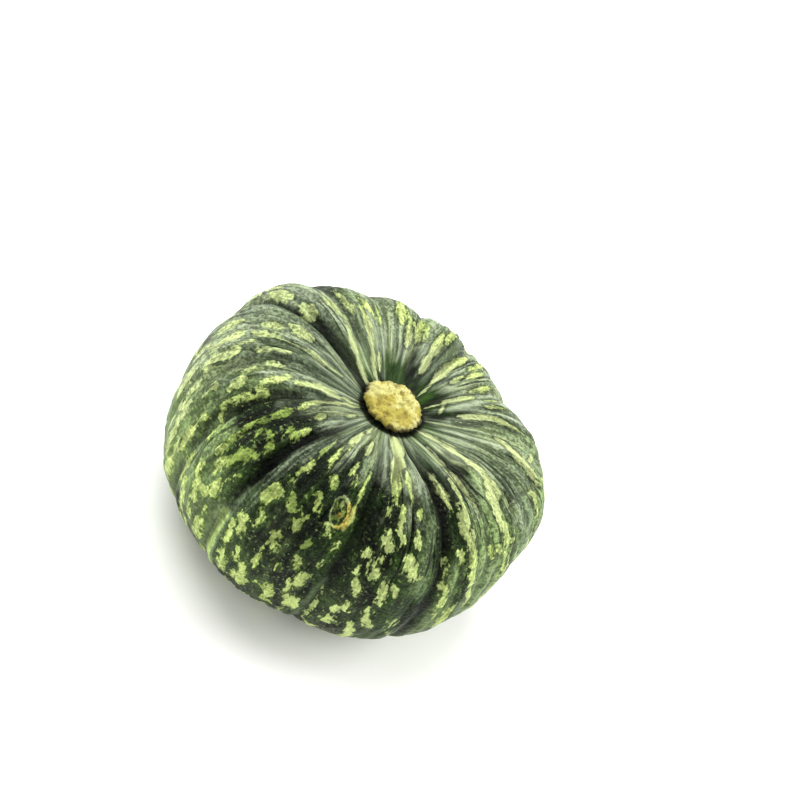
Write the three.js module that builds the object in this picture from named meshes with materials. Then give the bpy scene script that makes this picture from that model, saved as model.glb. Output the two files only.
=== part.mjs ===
// A kabocha squash: one flattened, lobed body and the corky stub of its stem.
// Millimetres, +Z up. The squash stands on its blossom end, stem up, and the origin lies on the
// surface it stands on, under the middle of the body.

import * as THREE from "three";
import { ParametricGeometry } from "three/addons/geometries/ParametricGeometry.js";

const { clamp, degToRad, lerp, smoothstep } = THREE.MathUtils;

// Body, seen from the side. Heights are counted from the waist, the level where it is widest.
const WAIST_RADIUS = 91.3;
const HALF_HEIGHT = 56;
const CREST_RADIUS = 52; // the ring where the shoulders are highest
const SEAT_RADIUS = 12; // the level patch under the stem
const FOOT_RADIUS = 36.5; // the ring that the body stands on
const STEM_HOLLOW = 10.8; // how far the seat lies below the shoulders
const BLOSSOM_HOLLOW = 3.3; // how far the blossom scar lies above the foot
const HOLLOW_STEEPNESS = 1.3;
const SHOULDER_SQUARENESS = 2.35; // 2 would be an ellipse
const UNDERSIDE_SQUARENESS = 1.98;
const SOLE_THICKNESS = 0.7; // what is missing from the lobes' lowest points, so that they rest flat

// The upper half leans: it is higher by this much on one side and lower by as much on the other.
const LEAN_HEIGHT = 3.4;
const LEAN_BEARING = 238;
const LEAN_BEGINS = -30; // no lean below this height
const LEAN_FULL = 40;

// Body, seen from above: each wave swells the waist on that many sides, by a share of the radius.
const WAIST_WAVES = [
  { sides: 2, share: 0.039, bearing: 11 },
  { sides: 3, share: 0.01, bearing: 8 },
  { sides: 4, share: 0.01, bearing: 14.5 },
  { sides: 5, share: 0.0205, bearing: 23 },
  { sides: 6, share: 0.014, bearing: 27.5 },
  { sides: 8, share: 0.006, bearing: -15.5 },
];

// The creases between the lobes: the bearing of each beside the stem and at the waist, in degrees
// counter-clockwise from +X, and its depth as a share of the deepest.
const CREASES = [
  { top: 2, waist: 1, share: 0.45 },
  { top: 26, waist: 27, share: 0.5 },
  { top: 50, waist: 53, share: 0.5 },
  { top: 78, waist: 80, share: 0.6 },
  { top: 101, waist: 104, share: 0.6 },
  { top: 124, waist: 128, share: 0.5 },
  { top: 146, waist: 150, share: 0.6 },
  { top: 167, waist: 174, share: 1 },
  { top: 194, waist: 196, share: 0.4 },
  { top: 209, waist: 209, share: 0.45 },
  { top: 225, waist: 226, share: 0.65 },
  { top: 249, waist: 248, share: 1 },
  { top: 284, waist: 286.5, share: 0.75 },
  { top: 318, waist: 319.5, share: 0.9 },
  { top: 340, waist: 339, share: 0.6 },
];
const CREASE_DEPTH = 5;
const CREASE_ROUNDNESS = 0.004; // 0 would leave a knife-sharp crease
const LOBE_FULLNESS = 0.4; // smaller is flatter over the top of a lobe

// Where creases come and go along the profile, which runs from 0 at the stem to 1 at the blossom end.
const CREASES_BEGIN = 0.06;
const CREASES_FULL = 0.2;
const CREASES_FADE = 0.25;
const CREASES_END = 0.85;

// Stem stub
const STEM_RADIUS = 15.6;
const STEM_HEIGHT = 6.2;
const STEM_FOOT_RADIUS = 12.2;
const STEM_GAP = 0.3; // between the stem's foot and its seat
const STEM_KNOBS = [
  { sides: 5, share: 0.028, bearing: 20 },
  { sides: 3, share: 0.022, bearing: 80 },
  { sides: 9, share: 0.012, bearing: 10 },
];

// Facets
const SLICES_PER_LOBE = 7;
const BANDS_PER_STRETCH = 8;
const STEM_SLICES = 45;
const STEM_SIDE_BANDS = 9;
const STEM_BASE_BANDS = 3;

const SEAT_HEIGHT = HALF_HEIGHT - STEM_HOLLOW;

// The share by which a sum of waves swells a radius at a bearing.
function swell(waves, bearing) {
  const parts = waves.map(
    (wave) => wave.share * Math.cos(degToRad(wave.sides * (bearing - wave.bearing))),
  );
  return 1 + parts.reduce((sum, part) => sum + part, 0);
}

// The four stretches of the body's profile. Each returns (radius, height) for t from 0 to 1.
function stemHollow(t) {
  const radius = t * CREST_RADIUS;
  const climb = clamp((radius - SEAT_RADIUS) / (CREST_RADIUS - SEAT_RADIUS), 0, 1);
  const risen = Math.sin((climb * Math.PI) / 2) ** HOLLOW_STEEPNESS;
  return new THREE.Vector2(radius, SEAT_HEIGHT + STEM_HOLLOW * risen);
}

function shoulder(t) {
  const angle = (t * Math.PI) / 2;
  const out = Math.sin(angle) ** (2 / SHOULDER_SQUARENESS);
  const up = Math.cos(angle) ** (2 / SHOULDER_SQUARENESS);
  return new THREE.Vector2(lerp(CREST_RADIUS, WAIST_RADIUS, out), HALF_HEIGHT * up);
}

function underside(t) {
  const angle = (t * Math.PI) / 2;
  const out = Math.cos(angle) ** (2 / UNDERSIDE_SQUARENESS);
  const down = Math.sin(angle) ** (2 / UNDERSIDE_SQUARENESS);
  return new THREE.Vector2(lerp(FOOT_RADIUS, WAIST_RADIUS, out), -HALF_HEIGHT * down);
}

function blossomHollow(t) {
  const risen = (1 - Math.cos(Math.PI * t)) / 2;
  return new THREE.Vector2(FOOT_RADIUS * (1 - t), BLOSSOM_HOLLOW * risen - HALF_HEIGHT);
}

const STRETCHES = [stemHollow, shoulder, underside, blossomHollow];

function profilePoint(v) {
  const place = clamp(v, 0, 1) * STRETCHES.length;
  const index = Math.min(Math.floor(place), STRETCHES.length - 1);
  return STRETCHES[index](place - index);
}

// The profile's outward normal, as (radial, up).
function profileNormal(v) {
  const step = 1e-4;
  const along = profilePoint(v + step).sub(profilePoint(v - step)).normalize();
  return new THREE.Vector2(-along.y, along.x);
}

// Where a point lies between two creases: its bearing, and how deep the skin dips there, from 0 to 1.
// As u grows, the point goes clockwise round the body, which makes the faces look outwards.
function lobePlace(u, v) {
  const place = ((1 - u) % 1) * CREASES.length;
  const index = Math.floor(place);
  const across = place - index;
  const from = CREASES[index];
  const to = CREASES[(index + 1) % CREASES.length];
  const down = clamp(2 * v, 0, 1); // 1 from the waist on
  const start = lerp(from.top, from.waist, down);
  const wrap = to === CREASES[0] ? 360 : 0;
  const end = lerp(to.top, to.waist, down) + wrap;
  const arch = (Math.sin(Math.PI * across) ** 2 + CREASE_ROUNDNESS) ** LOBE_FULLNESS;
  return {
    bearing: lerp(start, end, across),
    dip: lerp(from.share, to.share, across) * (1 - arch),
  };
}

function creaseDepth(v) {
  const arriving = smoothstep(v, CREASES_BEGIN, CREASES_FULL);
  const staying = 1 - smoothstep(v, CREASES_FADE, CREASES_END);
  return CREASE_DEPTH * arriving * staying;
}

// How far the lean raises a point of the profile at a bearing.
function leanLift(point, bearing) {
  const uphill = Math.cos(degToRad(bearing - LEAN_BEARING));
  const outward = smoothstep(point.x, SEAT_RADIUS, WAIST_RADIUS);
  return LEAN_HEIGHT * uphill * outward * smoothstep(point.y, LEAN_BEGINS, LEAN_FULL);
}

function bodySurface(u, v, target) {
  const { bearing, dip } = lobePlace(u, v);
  const point = profilePoint(v);
  const inward = profileNormal(v).multiplyScalar(-dip * creaseDepth(v));
  const radius = point.x * swell(WAIST_WAVES, bearing) + inward.x;
  const dipped = point.y + inward.y + leanLift(point, bearing);
  const height = Math.max(dipped, SOLE_THICKNESS - HALF_HEIGHT);
  const angle = degToRad(bearing);
  target.set(radius * Math.cos(angle), radius * Math.sin(angle), height);
}

// The stem's profile from the middle of its cut face, over the rim and under it to the foot.
const STEM_PROFILE = new THREE.SplineCurve([
  new THREE.Vector2(0, STEM_HEIGHT),
  new THREE.Vector2(0.6 * STEM_RADIUS, STEM_HEIGHT - 0.2),
  new THREE.Vector2(0.9 * STEM_RADIUS, STEM_HEIGHT - 0.7),
  new THREE.Vector2(STEM_RADIUS, STEM_HEIGHT - 2),
  new THREE.Vector2(0.95 * STEM_RADIUS, STEM_HEIGHT - 3.8),
  new THREE.Vector2(STEM_FOOT_RADIUS, 0),
]);

function stemSurface(u, v, target) {
  const sideShare = STEM_SIDE_BANDS / (STEM_SIDE_BANDS + STEM_BASE_BANDS);
  const point = STEM_PROFILE.getPoint(Math.min(v / sideShare, 1));
  const closing = clamp((1 - v) / (1 - sideShare), 0, 1); // 1 down to the foot, then 0 at the axis
  const bearing = 360 * ((1 - u) % 1);
  const radius = point.x * closing * swell(STEM_KNOBS, bearing);
  const angle = degToRad(bearing);
  const height = SEAT_HEIGHT + STEM_GAP + point.y;
  target.set(radius * Math.cos(angle), radius * Math.sin(angle), height);
}

function makeBody() {
  const slices = CREASES.length * SLICES_PER_LOBE;
  const bands = STRETCHES.length * BANDS_PER_STRETCH;
  const geometry = new ParametricGeometry(bodySurface, slices, bands);
  const skin = new THREE.MeshStandardMaterial({ color: 0x3b5233, roughness: 0.55, metalness: 0 });
  const body = new THREE.Mesh(geometry, skin);
  body.name = "squash_body";
  return body;
}

function makeStem() {
  const bands = STEM_SIDE_BANDS + STEM_BASE_BANDS;
  const geometry = new ParametricGeometry(stemSurface, STEM_SLICES, bands);
  const cork = new THREE.MeshStandardMaterial({ color: 0xd2bf68, roughness: 0.9, metalness: 0 });
  const stem = new THREE.Mesh(geometry, cork);
  stem.name = "stem";
  return stem;
}

// Stands the pieces on the XY plane with the middle of their box over the origin.
function standOnOrigin(squash) {
  const box = new THREE.Box3().setFromObject(squash);
  const foot = box.getCenter(new THREE.Vector3()).setZ(box.min.z);
  squash.children.forEach((piece) => piece.position.sub(foot));
}

const squash = new THREE.Group();
squash.add(makeBody(), makeStem());
standOnOrigin(squash);

export default squash;
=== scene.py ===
"""The looks of a kabocha squash: its lobed rind and its corky stem stub, on a plain pale floor."""

import logging
import math
import random
from collections.abc import Callable
from dataclasses import dataclass, field
from enum import Enum
from functools import partial

import bpy
import numpy as np
from mathutils import Matrix, Vector, noise


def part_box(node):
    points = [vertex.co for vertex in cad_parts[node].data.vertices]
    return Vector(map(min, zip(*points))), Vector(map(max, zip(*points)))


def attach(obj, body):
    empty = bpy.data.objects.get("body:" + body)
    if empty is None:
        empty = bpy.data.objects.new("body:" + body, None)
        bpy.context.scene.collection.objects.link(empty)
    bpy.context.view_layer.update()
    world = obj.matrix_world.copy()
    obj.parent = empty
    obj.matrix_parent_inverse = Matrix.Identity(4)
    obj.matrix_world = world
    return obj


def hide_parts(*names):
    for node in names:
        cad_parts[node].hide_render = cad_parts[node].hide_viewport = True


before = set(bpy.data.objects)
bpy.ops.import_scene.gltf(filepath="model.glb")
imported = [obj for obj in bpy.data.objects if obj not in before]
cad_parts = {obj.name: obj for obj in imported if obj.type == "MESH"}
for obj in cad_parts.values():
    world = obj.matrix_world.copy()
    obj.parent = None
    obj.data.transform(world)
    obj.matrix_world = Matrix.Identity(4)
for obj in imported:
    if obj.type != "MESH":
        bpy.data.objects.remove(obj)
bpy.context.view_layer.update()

MM = 0.001
BODY = "root"
NOISE_SCALE = 0.6  # at this scale the lumps of a noise texture are about a unit wide
NOISE_MIDDLE = 0.5
SEED_MOVE = (1.0, 0.7, 1.3)  # which way a seed moves a pattern
TINY = 1e-9  # keeps a division from being by nothing
LOG = logging.getLogger("kabocha")

Socket = bpy.types.NodeSocket
Tree = bpy.types.NodeTree
Adder = Callable[..., Socket]  # add_node, bound to one material's tree
Rise = tuple[float, ...]  # where a value starts and ends its rise, and from what to what, or else 0 to 1
Pair = tuple[float, float]
Triple = tuple[float, float, float]
Bearings = tuple[Pair, ...]  # bearings round the stem in degrees, each with a distance down the skin in mm


class Texel(Enum):
    """Which coordinates a pattern is laid on."""

    SOLID = "solid"  # the piece's own space, the same size everywhere
    RING = "ring"  # round the squash and down its lobes, narrowing towards the ends


class Step(Enum):
    """The nodes that finishes are made of.

    Each holds the node's type, the inputs in the order in which they are given, the output that is read,
    and the node's settings.
    """

    TIMES = ("Math", (0, 1), 0, {"operation": "MULTIPLY"})
    PLUS = ("Math", (0, 1), 0, {"operation": "ADD"})
    LESS = ("Math", (0, 1), 0, {"operation": "SUBTRACT"})
    LARGER = ("Math", (0, 1), 0, {"operation": "MAXIMUM"})
    SIZE = ("Math", (0,), 0, {"operation": "ABSOLUTE"})
    TIMES_PLUS = ("Math", (0, 1, 2), 0, {"operation": "MULTIPLY_ADD"})
    RISE = ("MapRange", (0, 1, 2, 3, 4), 0, {"interpolation_type": "SMOOTHSTEP"})
    BETWEEN = ("Mix", (0, 2, 3), 0, {})
    COVER = ("Mix", (0, 6, 7), 2, {"data_type": "RGBA"})
    DARKEN = ("Mix", (0, 6, 7), 2, {"data_type": "RGBA", "blend_type": "MULTIPLY"})
    VALUE = ("Attribute", (), "Fac", {})
    PLACE = ("Attribute", (), "Vector", {})
    OWN_SPACE = ("TexCoord", (), "Object", {})
    SCALED = ("Mapping", ("Vector", "Location", "Scale"), 0, {})
    NOISE = ("TexNoise", ("Vector", "Scale", "Detail", "Roughness"), "Fac", {})
    NOISE_VECTOR = ("TexNoise", ("Vector", "Scale", "Detail"), "Color", {})
    VECTOR_LESS = ("VectorMath", (0, 1), 0, {"operation": "SUBTRACT"})
    VECTOR_TIMES = ("VectorMath", (0, "Scale"), 0, {"operation": "SCALE"})
    VECTOR_PLUS = ("VectorMath", (0, 1), 0, {"operation": "ADD"})
    LENGTH = ("VectorMath", (0,), "Value", {"operation": "LENGTH"})
    APART = ("VectorMath", (0, 1), "Value", {"operation": "DISTANCE"})
    SPLIT = ("SeparateXYZ", (0,), 0, {})
    JOIN = ("CombineXYZ", (0, 1), 0, {})
    BUMP = ("Bump", ("Height", "Distance"), 0, {})
    SHADER = ("BsdfPrincipled", ("Base Color", "Roughness", "Normal", "IOR", "Specular IOR Level"), 0, {})
    OUTPUT = ("OutputMaterial", ("Surface",), 0, {})


# ---------------------------------------------------------------- nodes, colours and patterns


def linear(hex_colour: str) -> tuple[float, float, float, float]:
    """Turns an sRGB hex colour to the linear values that shaders take.

    Args:
        hex_colour: A colour such as "#3b5233".

    Returns:
        Red, green, blue and an alpha of 1.
    """
    parts = [int(hex_colour[i : i + 2], 16) / 255 for i in (1, 3, 5)]
    made = [c / 12.92 if c <= 0.04045 else ((c + 0.055) / 1.055) ** 2.4 for c in parts]
    return (*made, 1.0)


def add_node(tree: Tree, step: Step, *values: object, **settings: object) -> Socket | None:
    """Adds a node with its settings, and sets or links its inputs.

    Args:
        tree: The node tree to add to.
        step: The kind of node.
        *values: For each input a number, a vector, a hex colour, or the output that feeds it. Inputs that
            get nothing keep their defaults.
        **settings: More attributes of the node itself.

    Returns:
        The output that the step reads, or None for a node without outputs.
    """
    kind, inputs, output, usual = step.value
    node = tree.nodes.new("ShaderNode" + kind)
    for name, value in {**usual, **settings}.items():
        setattr(node, name, value)
    for key, value in zip(inputs, values):
        if isinstance(value, Socket):
            tree.links.new(value, node.inputs[key])
        else:
            node.inputs[key].default_value = linear(value) if isinstance(value, str) else value
    return node.outputs[output] if node.outputs else None


@dataclass(frozen=True)
class Grain:
    """A noise pattern of a real size.

    Attributes:
        size: The width of a lump in millimetres.
        stretch: How many times longer than wide a lump is, down the lobes.
        detail: The number of finer layers.
        roughness: The weight of the finer layers.
        seed: Moves the pattern, so that two layers differ.
        texel: The coordinates that it is laid on.
    """

    size: float
    stretch: float = 1.0
    detail: float = 2.0
    roughness: float = 0.55
    seed: float = 0.0
    texel: Texel = Texel.RING

    def lay(self, add: Adder) -> Socket:
        """Lays the pattern on a material.

        Args:
            add: Adds a node to the material.

        Returns:
            The noise, mostly from 0.3 to 0.7.
        """
        if self.texel is Texel.RING:
            source, per_unit = add(Step.PLACE, attribute_name="ring"), 1 / self.size
        else:
            source, per_unit = add(Step.OWN_SPACE), 1 / (self.size * MM)
        move = tuple(self.seed * share for share in SEED_MOVE)
        scaled = add(Step.SCALED, source, move, (per_unit, per_unit, per_unit / self.stretch))
        return add(Step.NOISE, scaled, NOISE_SCALE, self.detail, self.roughness)

    def swing(self, add: Adder) -> Socket:
        """Lays the pattern on a material so that it swings about 0."""
        return add(Step.LESS, self.lay(add), NOISE_MIDDLE)


@dataclass(frozen=True)
class Finish:
    """A surface: what its shader is given."""

    name: str

    def make(self) -> bpy.types.Material:
        """Makes the material, with one shader on its output.

        Returns:
            The material.
        """
        material = bpy.data.materials.new(self.name)
        material.use_nodes = True
        material.node_tree.nodes.clear()
        add = partial(add_node, material.node_tree)
        add(Step.OUTPUT, add(Step.SHADER, *self.surface(add)))
        return material

    def surface(self, add: Adder) -> tuple[object, ...]:
        """What the shader's inputs get, in the order that its step names them."""
        raise NotImplementedError


# ---------------------------------------------------------------- the squash's form


@dataclass(frozen=True)
class Crease:
    """A fold between two lobes.

    Attributes:
        top: Its bearing beside the stem, in degrees counter-clockwise from +X.
        waist: Its bearing at the waist.
        share: Its depth, as a share of the deepest.
    """

    top: float
    waist: float
    share: float


CREASES = tuple(
    Crease(*row)
    for row in (
        (2, 1, 0.45), (26, 27, 0.5), (50, 53, 0.5), (78, 80, 0.6), (101, 104, 0.6),
        (124, 128, 0.5), (146, 150, 0.6), (167, 174, 1.0), (194, 196, 0.4), (209, 209, 0.45),
        (225, 226, 0.65), (249, 248, 1.0), (284, 286.5, 0.75), (318, 319.5, 0.9), (340, 339, 0.6),
    )
)  # fmt: skip


@dataclass(frozen=True)
class Wave:
    """A swelling of an outline on a number of sides.

    Attributes:
        sides: The number of sides.
        share: Its height, as a share of the radius.
        bearing: The bearing of its first top, in degrees.
    """

    sides: int
    share: float
    bearing: float


def swell(waves: tuple[Wave, ...], bearing: np.ndarray) -> np.ndarray:
    """How much wider than round an outline is at each bearing.

    Args:
        waves: Its swellings.
        bearing: Bearings in degrees.

    Returns:
        A factor for the radius at each bearing.
    """
    total = np.ones_like(bearing)
    for wave in waves:
        total = total + wave.share * np.cos(np.radians(wave.sides * (bearing - wave.bearing)))
    return total


def smoothstep(value: np.ndarray, start: float, end: float) -> np.ndarray:
    """Rises smoothly between two values.

    Args:
        value: The values.
        start: Where the rise starts, and up to where the result is 0.
        end: Where it ends, and from where the result is 1.

    Returns:
        A share from 0 to 1 for each value.
    """
    t = np.clip((value - start) / (end - start), 0, 1)
    return t * t * (3 - 2 * t)


def limited(value: np.ndarray, limit: float, sharpness: float = 3) -> np.ndarray:
    """Bends values over so that none goes above the limit.

    Args:
        value: The values.
        limit: What they stay under.
        sharpness: How suddenly they bend over.

    Returns:
        The values, which are nearly unchanged well below the limit.
    """
    return limit - np.log1p(np.exp((limit - value) * sharpness)) / sharpness


def noise_at(points: np.ndarray, size: float = 1.0, octaves: int = 1) -> np.ndarray:
    """Smooth noise at each point.

    Args:
        points: One row for each point.
        size: The width of a lump, in the points' unit.
        octaves: How many layers, each half as large and half as strong as the one before.

    Returns:
        One value for each point, about -0.5 to 0.5.
    """
    total = np.zeros(len(points))
    for layer in range(octaves):
        scale = 2**layer / size
        total += np.array([noise.noise(p) for p in (points * scale).tolist()]) / 2**layer
    return total


@dataclass(frozen=True)
class SquashForm:
    """The large form of the body, in millimetres, with heights counted from its waist.

    A place along the outline is a share of the way from the stem (0) to the blossom end (1).
    """

    waist_radius: float = 91.3
    half_height: float = 56.0
    crest_radius: float = 52.0
    seat_radius: float = 12.0
    foot_radius: float = 36.5
    stem_hollow: float = 10.8
    blossom_hollow: float = 3.3
    hollow_steepness: float = 1.3
    shoulder_squareness: float = 2.35
    underside_squareness: float = 1.98
    sole_thickness: float = 0.7
    crease_depth: float = 5.0
    crease_roundness: float = 0.004
    lobe_fullness: float = 0.4
    groove_width: float = 2.4
    groove_shares: Pair = (0.3, 0.9)  # the creases that get no groove, and those that get a full one
    creases_begin: Pair = (0.06, 0.2)
    creases_end: Pair = (0.25, 0.85)
    grooves_end: Pair = (0.5, 0.85)
    lean_height: float = 3.4
    lean_bearing: float = 238.0
    lean_rise: Pair = (-30.0, 40.0)
    waves: tuple[Wave, ...] = (
        Wave(2, 0.039, 11),
        Wave(3, 0.01, 8),
        Wave(4, 0.01, 14.5),
        Wave(5, 0.0205, 23),
        Wave(6, 0.014, 27.5),
        Wave(8, 0.006, -15.5),
    )

    def profile(self, v: np.ndarray) -> tuple[np.ndarray, np.ndarray]:
        """The outline from the stem to the blossom end, in four stretches of equal share.

        Args:
            v: Places along the outline.

        Returns:
            Radius and height at each place.
        """
        place = np.clip(v, 0, 1) * 4
        stretch = np.minimum(place.astype(int), 3)
        t = place - stretch
        angle = t * math.pi / 2
        radius_in = t * self.crest_radius
        climb = np.clip((radius_in - self.seat_radius) / (self.crest_radius - self.seat_radius), 0, 1)
        hollow = self.half_height - self.stem_hollow
        hollow = hollow + self.stem_hollow * np.sin(climb * math.pi / 2) ** self.hollow_steepness
        upper, lower = 2 / self.shoulder_squareness, 2 / self.underside_squareness
        sine, cosine = np.clip(np.sin(angle), 0, 1), np.clip(np.cos(angle), 0, 1)
        past_crest = self.waist_radius - self.crest_radius
        past_foot = self.waist_radius - self.foot_radius
        blossom = self.blossom_hollow * (1 - np.cos(math.pi * t)) / 2 - self.half_height
        radii = [
            radius_in,
            self.crest_radius + past_crest * sine**upper,
            self.foot_radius + past_foot * cosine**lower,
            self.foot_radius * (1 - t),
        ]
        heights = [hollow, self.half_height * cosine**upper, -self.half_height * sine**lower, blossom]
        return np.choose(stretch, radii), np.choose(stretch, heights)

    def lobe_place(self, bearing: np.ndarray, v: np.ndarray) -> tuple[np.ndarray, np.ndarray, np.ndarray]:
        """Where points lie between the two creases beside them.

        Args:
            bearing: Bearings in degrees.
            v: Places along the outline.

        Returns:
            The way across the lobe from 0 to 1, the depth share of the creases there, and the way to the
            nearest crease in degrees.
        """
        down = np.clip(2 * v, 0, 1)
        across, share, gap = (np.zeros_like(bearing) for _ in range(3))
        for near, far in zip(CREASES, (*CREASES[1:], CREASES[0])):
            start = near.top + (near.waist - near.top) * down
            end = far.top + (far.waist - far.top) * down
            width = (end - start) % 360
            way = ((bearing - start) % 360) / width
            inside = way < 1
            across = np.where(inside, way, across)
            share = np.where(inside, near.share + (far.share - near.share) * way, share)
            gap = np.where(inside, np.minimum(way, 1 - way) * width, gap)
        return across, share, gap

    def dip(self, bearing: np.ndarray, v: np.ndarray) -> np.ndarray:
        """How far the skin dips into the creases.

        Args:
            bearing: Bearings in degrees.
            v: Places along the outline.

        Returns:
            Millimetres inwards for each point.
        """
        across, share, _ = self.lobe_place(bearing, v)
        arch = (np.sin(math.pi * across) ** 2 + self.crease_roundness) ** self.lobe_fullness
        arriving = smoothstep(v, *self.creases_begin)
        staying = 1 - smoothstep(v, *self.creases_end)
        return self.crease_depth * share * (1 - arch) * arriving * staying

    def groove(self, bearing: np.ndarray, v: np.ndarray, radius: np.ndarray) -> np.ndarray:
        """How strongly the narrow groove at the bottom of a crease shows.

        Args:
            bearing: Bearings in degrees.
            v: Places along the outline.
            radius: The way from the stem's axis in millimetres.

        Returns:
            A share from 0 to 1 for each point.
        """
        _, share, gap = self.lobe_place(bearing, v)
        away = np.radians(gap) * radius / self.groove_width
        along = smoothstep(v, *self.creases_begin) * (1 - smoothstep(v, *self.grooves_end))
        return np.exp(-(away**2)) * smoothstep(share, *self.groove_shares) * along

    def lean(self, bearing: np.ndarray, radius: np.ndarray, height: np.ndarray) -> np.ndarray:
        """How far the lean of the upper half raises the outline.

        Args:
            bearing: Bearings in degrees.
            radius: The outline's radius.
            height: The outline's height.

        Returns:
            Millimetres upwards for each point.
        """
        uphill = np.cos(np.radians(bearing - self.lean_bearing))
        outward = smoothstep(radius, self.seat_radius, self.waist_radius)
        return self.lean_height * uphill * outward * smoothstep(height, *self.lean_rise)


# ---------------------------------------------------------------- where the skin is marked


@dataclass(frozen=True)
class Stroke:
    """A stroke on the skin.

    Attributes:
        width: How wide it is in millimetres.
        path: Its points, each a bearing in degrees and a distance down the skin from the stem's axis.
        tone: How well the skin is covered. Marks under about 0.85 break up into specks, and those over
            about 0.95 keep a crisp edge.
    """

    width: float
    path: tuple[Pair, ...]
    tone: float = 1.0


def strokes(*rows: tuple) -> tuple[Stroke, ...]:
    """Makes strokes from rows of a width, a tone and then the points."""
    return tuple(Stroke(row[0], row[2:], row[1]) for row in rows)


FRONT_MARKS = strokes(
    (3, 1, (-97, 30), (-97.3, 48)), (2.8, 0.6, (-96, 19), (-95.5, 28)),
    (3, 1, (-86, 34), (-86, 48)), (1.9, 1.05, (-103.8, 49), (-102.5, 58), (-101.5, 69)),
    (2.4, 0.9, (-101.6, 69), (-102.5, 79)), (1.7, 1.05, (-98, 51), (-97.4, 60), (-96, 69.5)),
    (0.9, 1, (-95.3, 48), (-95.3, 54)), (2.4, 0.95, (-87.4, 54), (-88, 67)),
    (2.6, 0.85, (-84, 62), (-83.5, 68)), (1.7, 1.2, (-79, 54), (-79.1, 64), (-79.3, 76)),
    (2, 1.2, (-79.2, 76), (-78.2, 83), (-79.4, 90)), (3.4, 0.9, (-91.5, 69.5), (-91, 74.5)),
    (4.2, 0.7, (-91.8, 80), (-91, 87)), (2.8, 0.8, (-84, 91), (-82, 96.5)),
    (2.6, 0.7, (-102.3, 83), (-102, 86)), (5.8, 0.85, (-103.4, 91.5), (-104, 99.5)),
    (5, 0.6, (-99, 88), (-97, 93.5)), (3.6, 0.65, (-92.6, 92), (-92, 101)),
    (3, 0.65, (-86, 102.5), (-86, 106)), (3.6, 0.65, (-102, 105), (-101.3, 112)),
    (3.8, 0.9, (-94.8, 108), (-93.5, 115.5)), (4.6, 0.95, (-85, 113), (-84.6, 118.5)),
    (1.5, 0.9, (-79.3, 109), (-79.3, 113.5)), (6, 0.7, (-106, 115), (-104, 122)),
    (4.6, 1, (-107.4, 121.5), (-106, 133)), (3, 1, (-95.4, 125), (-94.7, 132)),
    (3.4, 0.9, (-101.7, 131), (-101.2, 137.5)), (5.8, 1, (-81.3, 122.5), (-81.2, 128.5)),
    (2.8, 0.95, (-83.5, 129), (-83.3, 135)), (2, 1.05, (-73.6, 124), (-73, 135), (-72.4, 145)),
    (2, 0.85, (-72.3, 145), (-71.5, 157)), (8, 1, (-79, 142.5), (-78.8, 147)),
    (5, 1, (-88, 139), (-87.4, 146), (-86, 154)), (6, 1, (-97.5, 138), (-96.5, 144), (-96, 151)),
    (5, 1, (-105, 140), (-104.3, 147), (-104, 155)), (4, 0.9, (-99.5, 146), (-99, 152)),
    (2, 0.8, (-91.5, 140), (-91.3, 143)), (1.6, 0.8, (-96.8, 119), (-96.6, 121)),
    (1.6, 0.8, (-89, 123), (-88.9, 125)), (3, 0.6, (-78.5, 97), (-78.3, 101)),
)
STREAKED_MARKS = strokes(
    (6, 1, (-57, 18), (-59, 27), (-61, 35)),
    (5.2, 1.05, (-61, 33), (-63.5, 42), (-65, 50), (-64.8, 62)), (2, 1.05, (-65, 60), (-64.6, 68)),
    (3.2, 0.9, (-57.5, 33), (-58.5, 41)), (3.6, 0.95, (-57.6, 45), (-57.4, 65)),
    (2.2, 0.9, (-67, 70), (-66.8, 73)), (3, 0.9, (-61.5, 66.5), (-60.8, 74.5), (-59, 83.5)),
    (3, 0.9, (-53.5, 64.5), (-53.3, 70.5)), (3.6, 0.95, (-54, 76), (-53.4, 84)),
    (3, 0.95, (-64.5, 79.5), (-64.4, 83.5)), (5.6, 1, (-64.6, 84.5), (-63.2, 88)),
    (2, 0.9, (-63.4, 92.5), (-63.2, 94.5)), (4.6, 1, (-55.3, 88.5), (-53.4, 94.5), (-51.5, 99.5)),
    (3.4, 0.75, (-68.5, 94), (-68.3, 97.5)), (5.2, 0.95, (-64.4, 99), (-63.6, 103.5)),
    (3.8, 0.6, (-68, 104.5), (-67.8, 108)), (3.8, 0.85, (-67.2, 112), (-65.8, 114.5), (-65, 117.5)),
    (3.4, 1, (-59.3, 105.5), (-58, 112.5), (-56.4, 119)), (2, 0.95, (-55, 107.5), (-54.8, 111.5)),
    (4.8, 0.95, (-64.4, 126.5), (-64.8, 130)), (4, 1, (-66.8, 130.5), (-67, 133)),
    (4.4, 1, (-67, 140), (-66.6, 144.5)), (3.6, 1, (-58.5, 124.5), (-57.6, 132), (-55.6, 135)),
    (3.6, 0.9, (-56, 133), (-54, 138)), (4.6, 1, (-60.5, 139), (-58.8, 146), (-56.5, 154)),
    (1.8, 1, (-48.8, 127), (-48.8, 129.5)), (1.6, 1, (-51, 128), (-50.8, 130)),
    (1.8, 0.9, (-47.5, 130.5), (-47.2, 133)), (2.6, 0.7, (-49.5, 132), (-48, 138), (-45.5, 145)),
)
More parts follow.
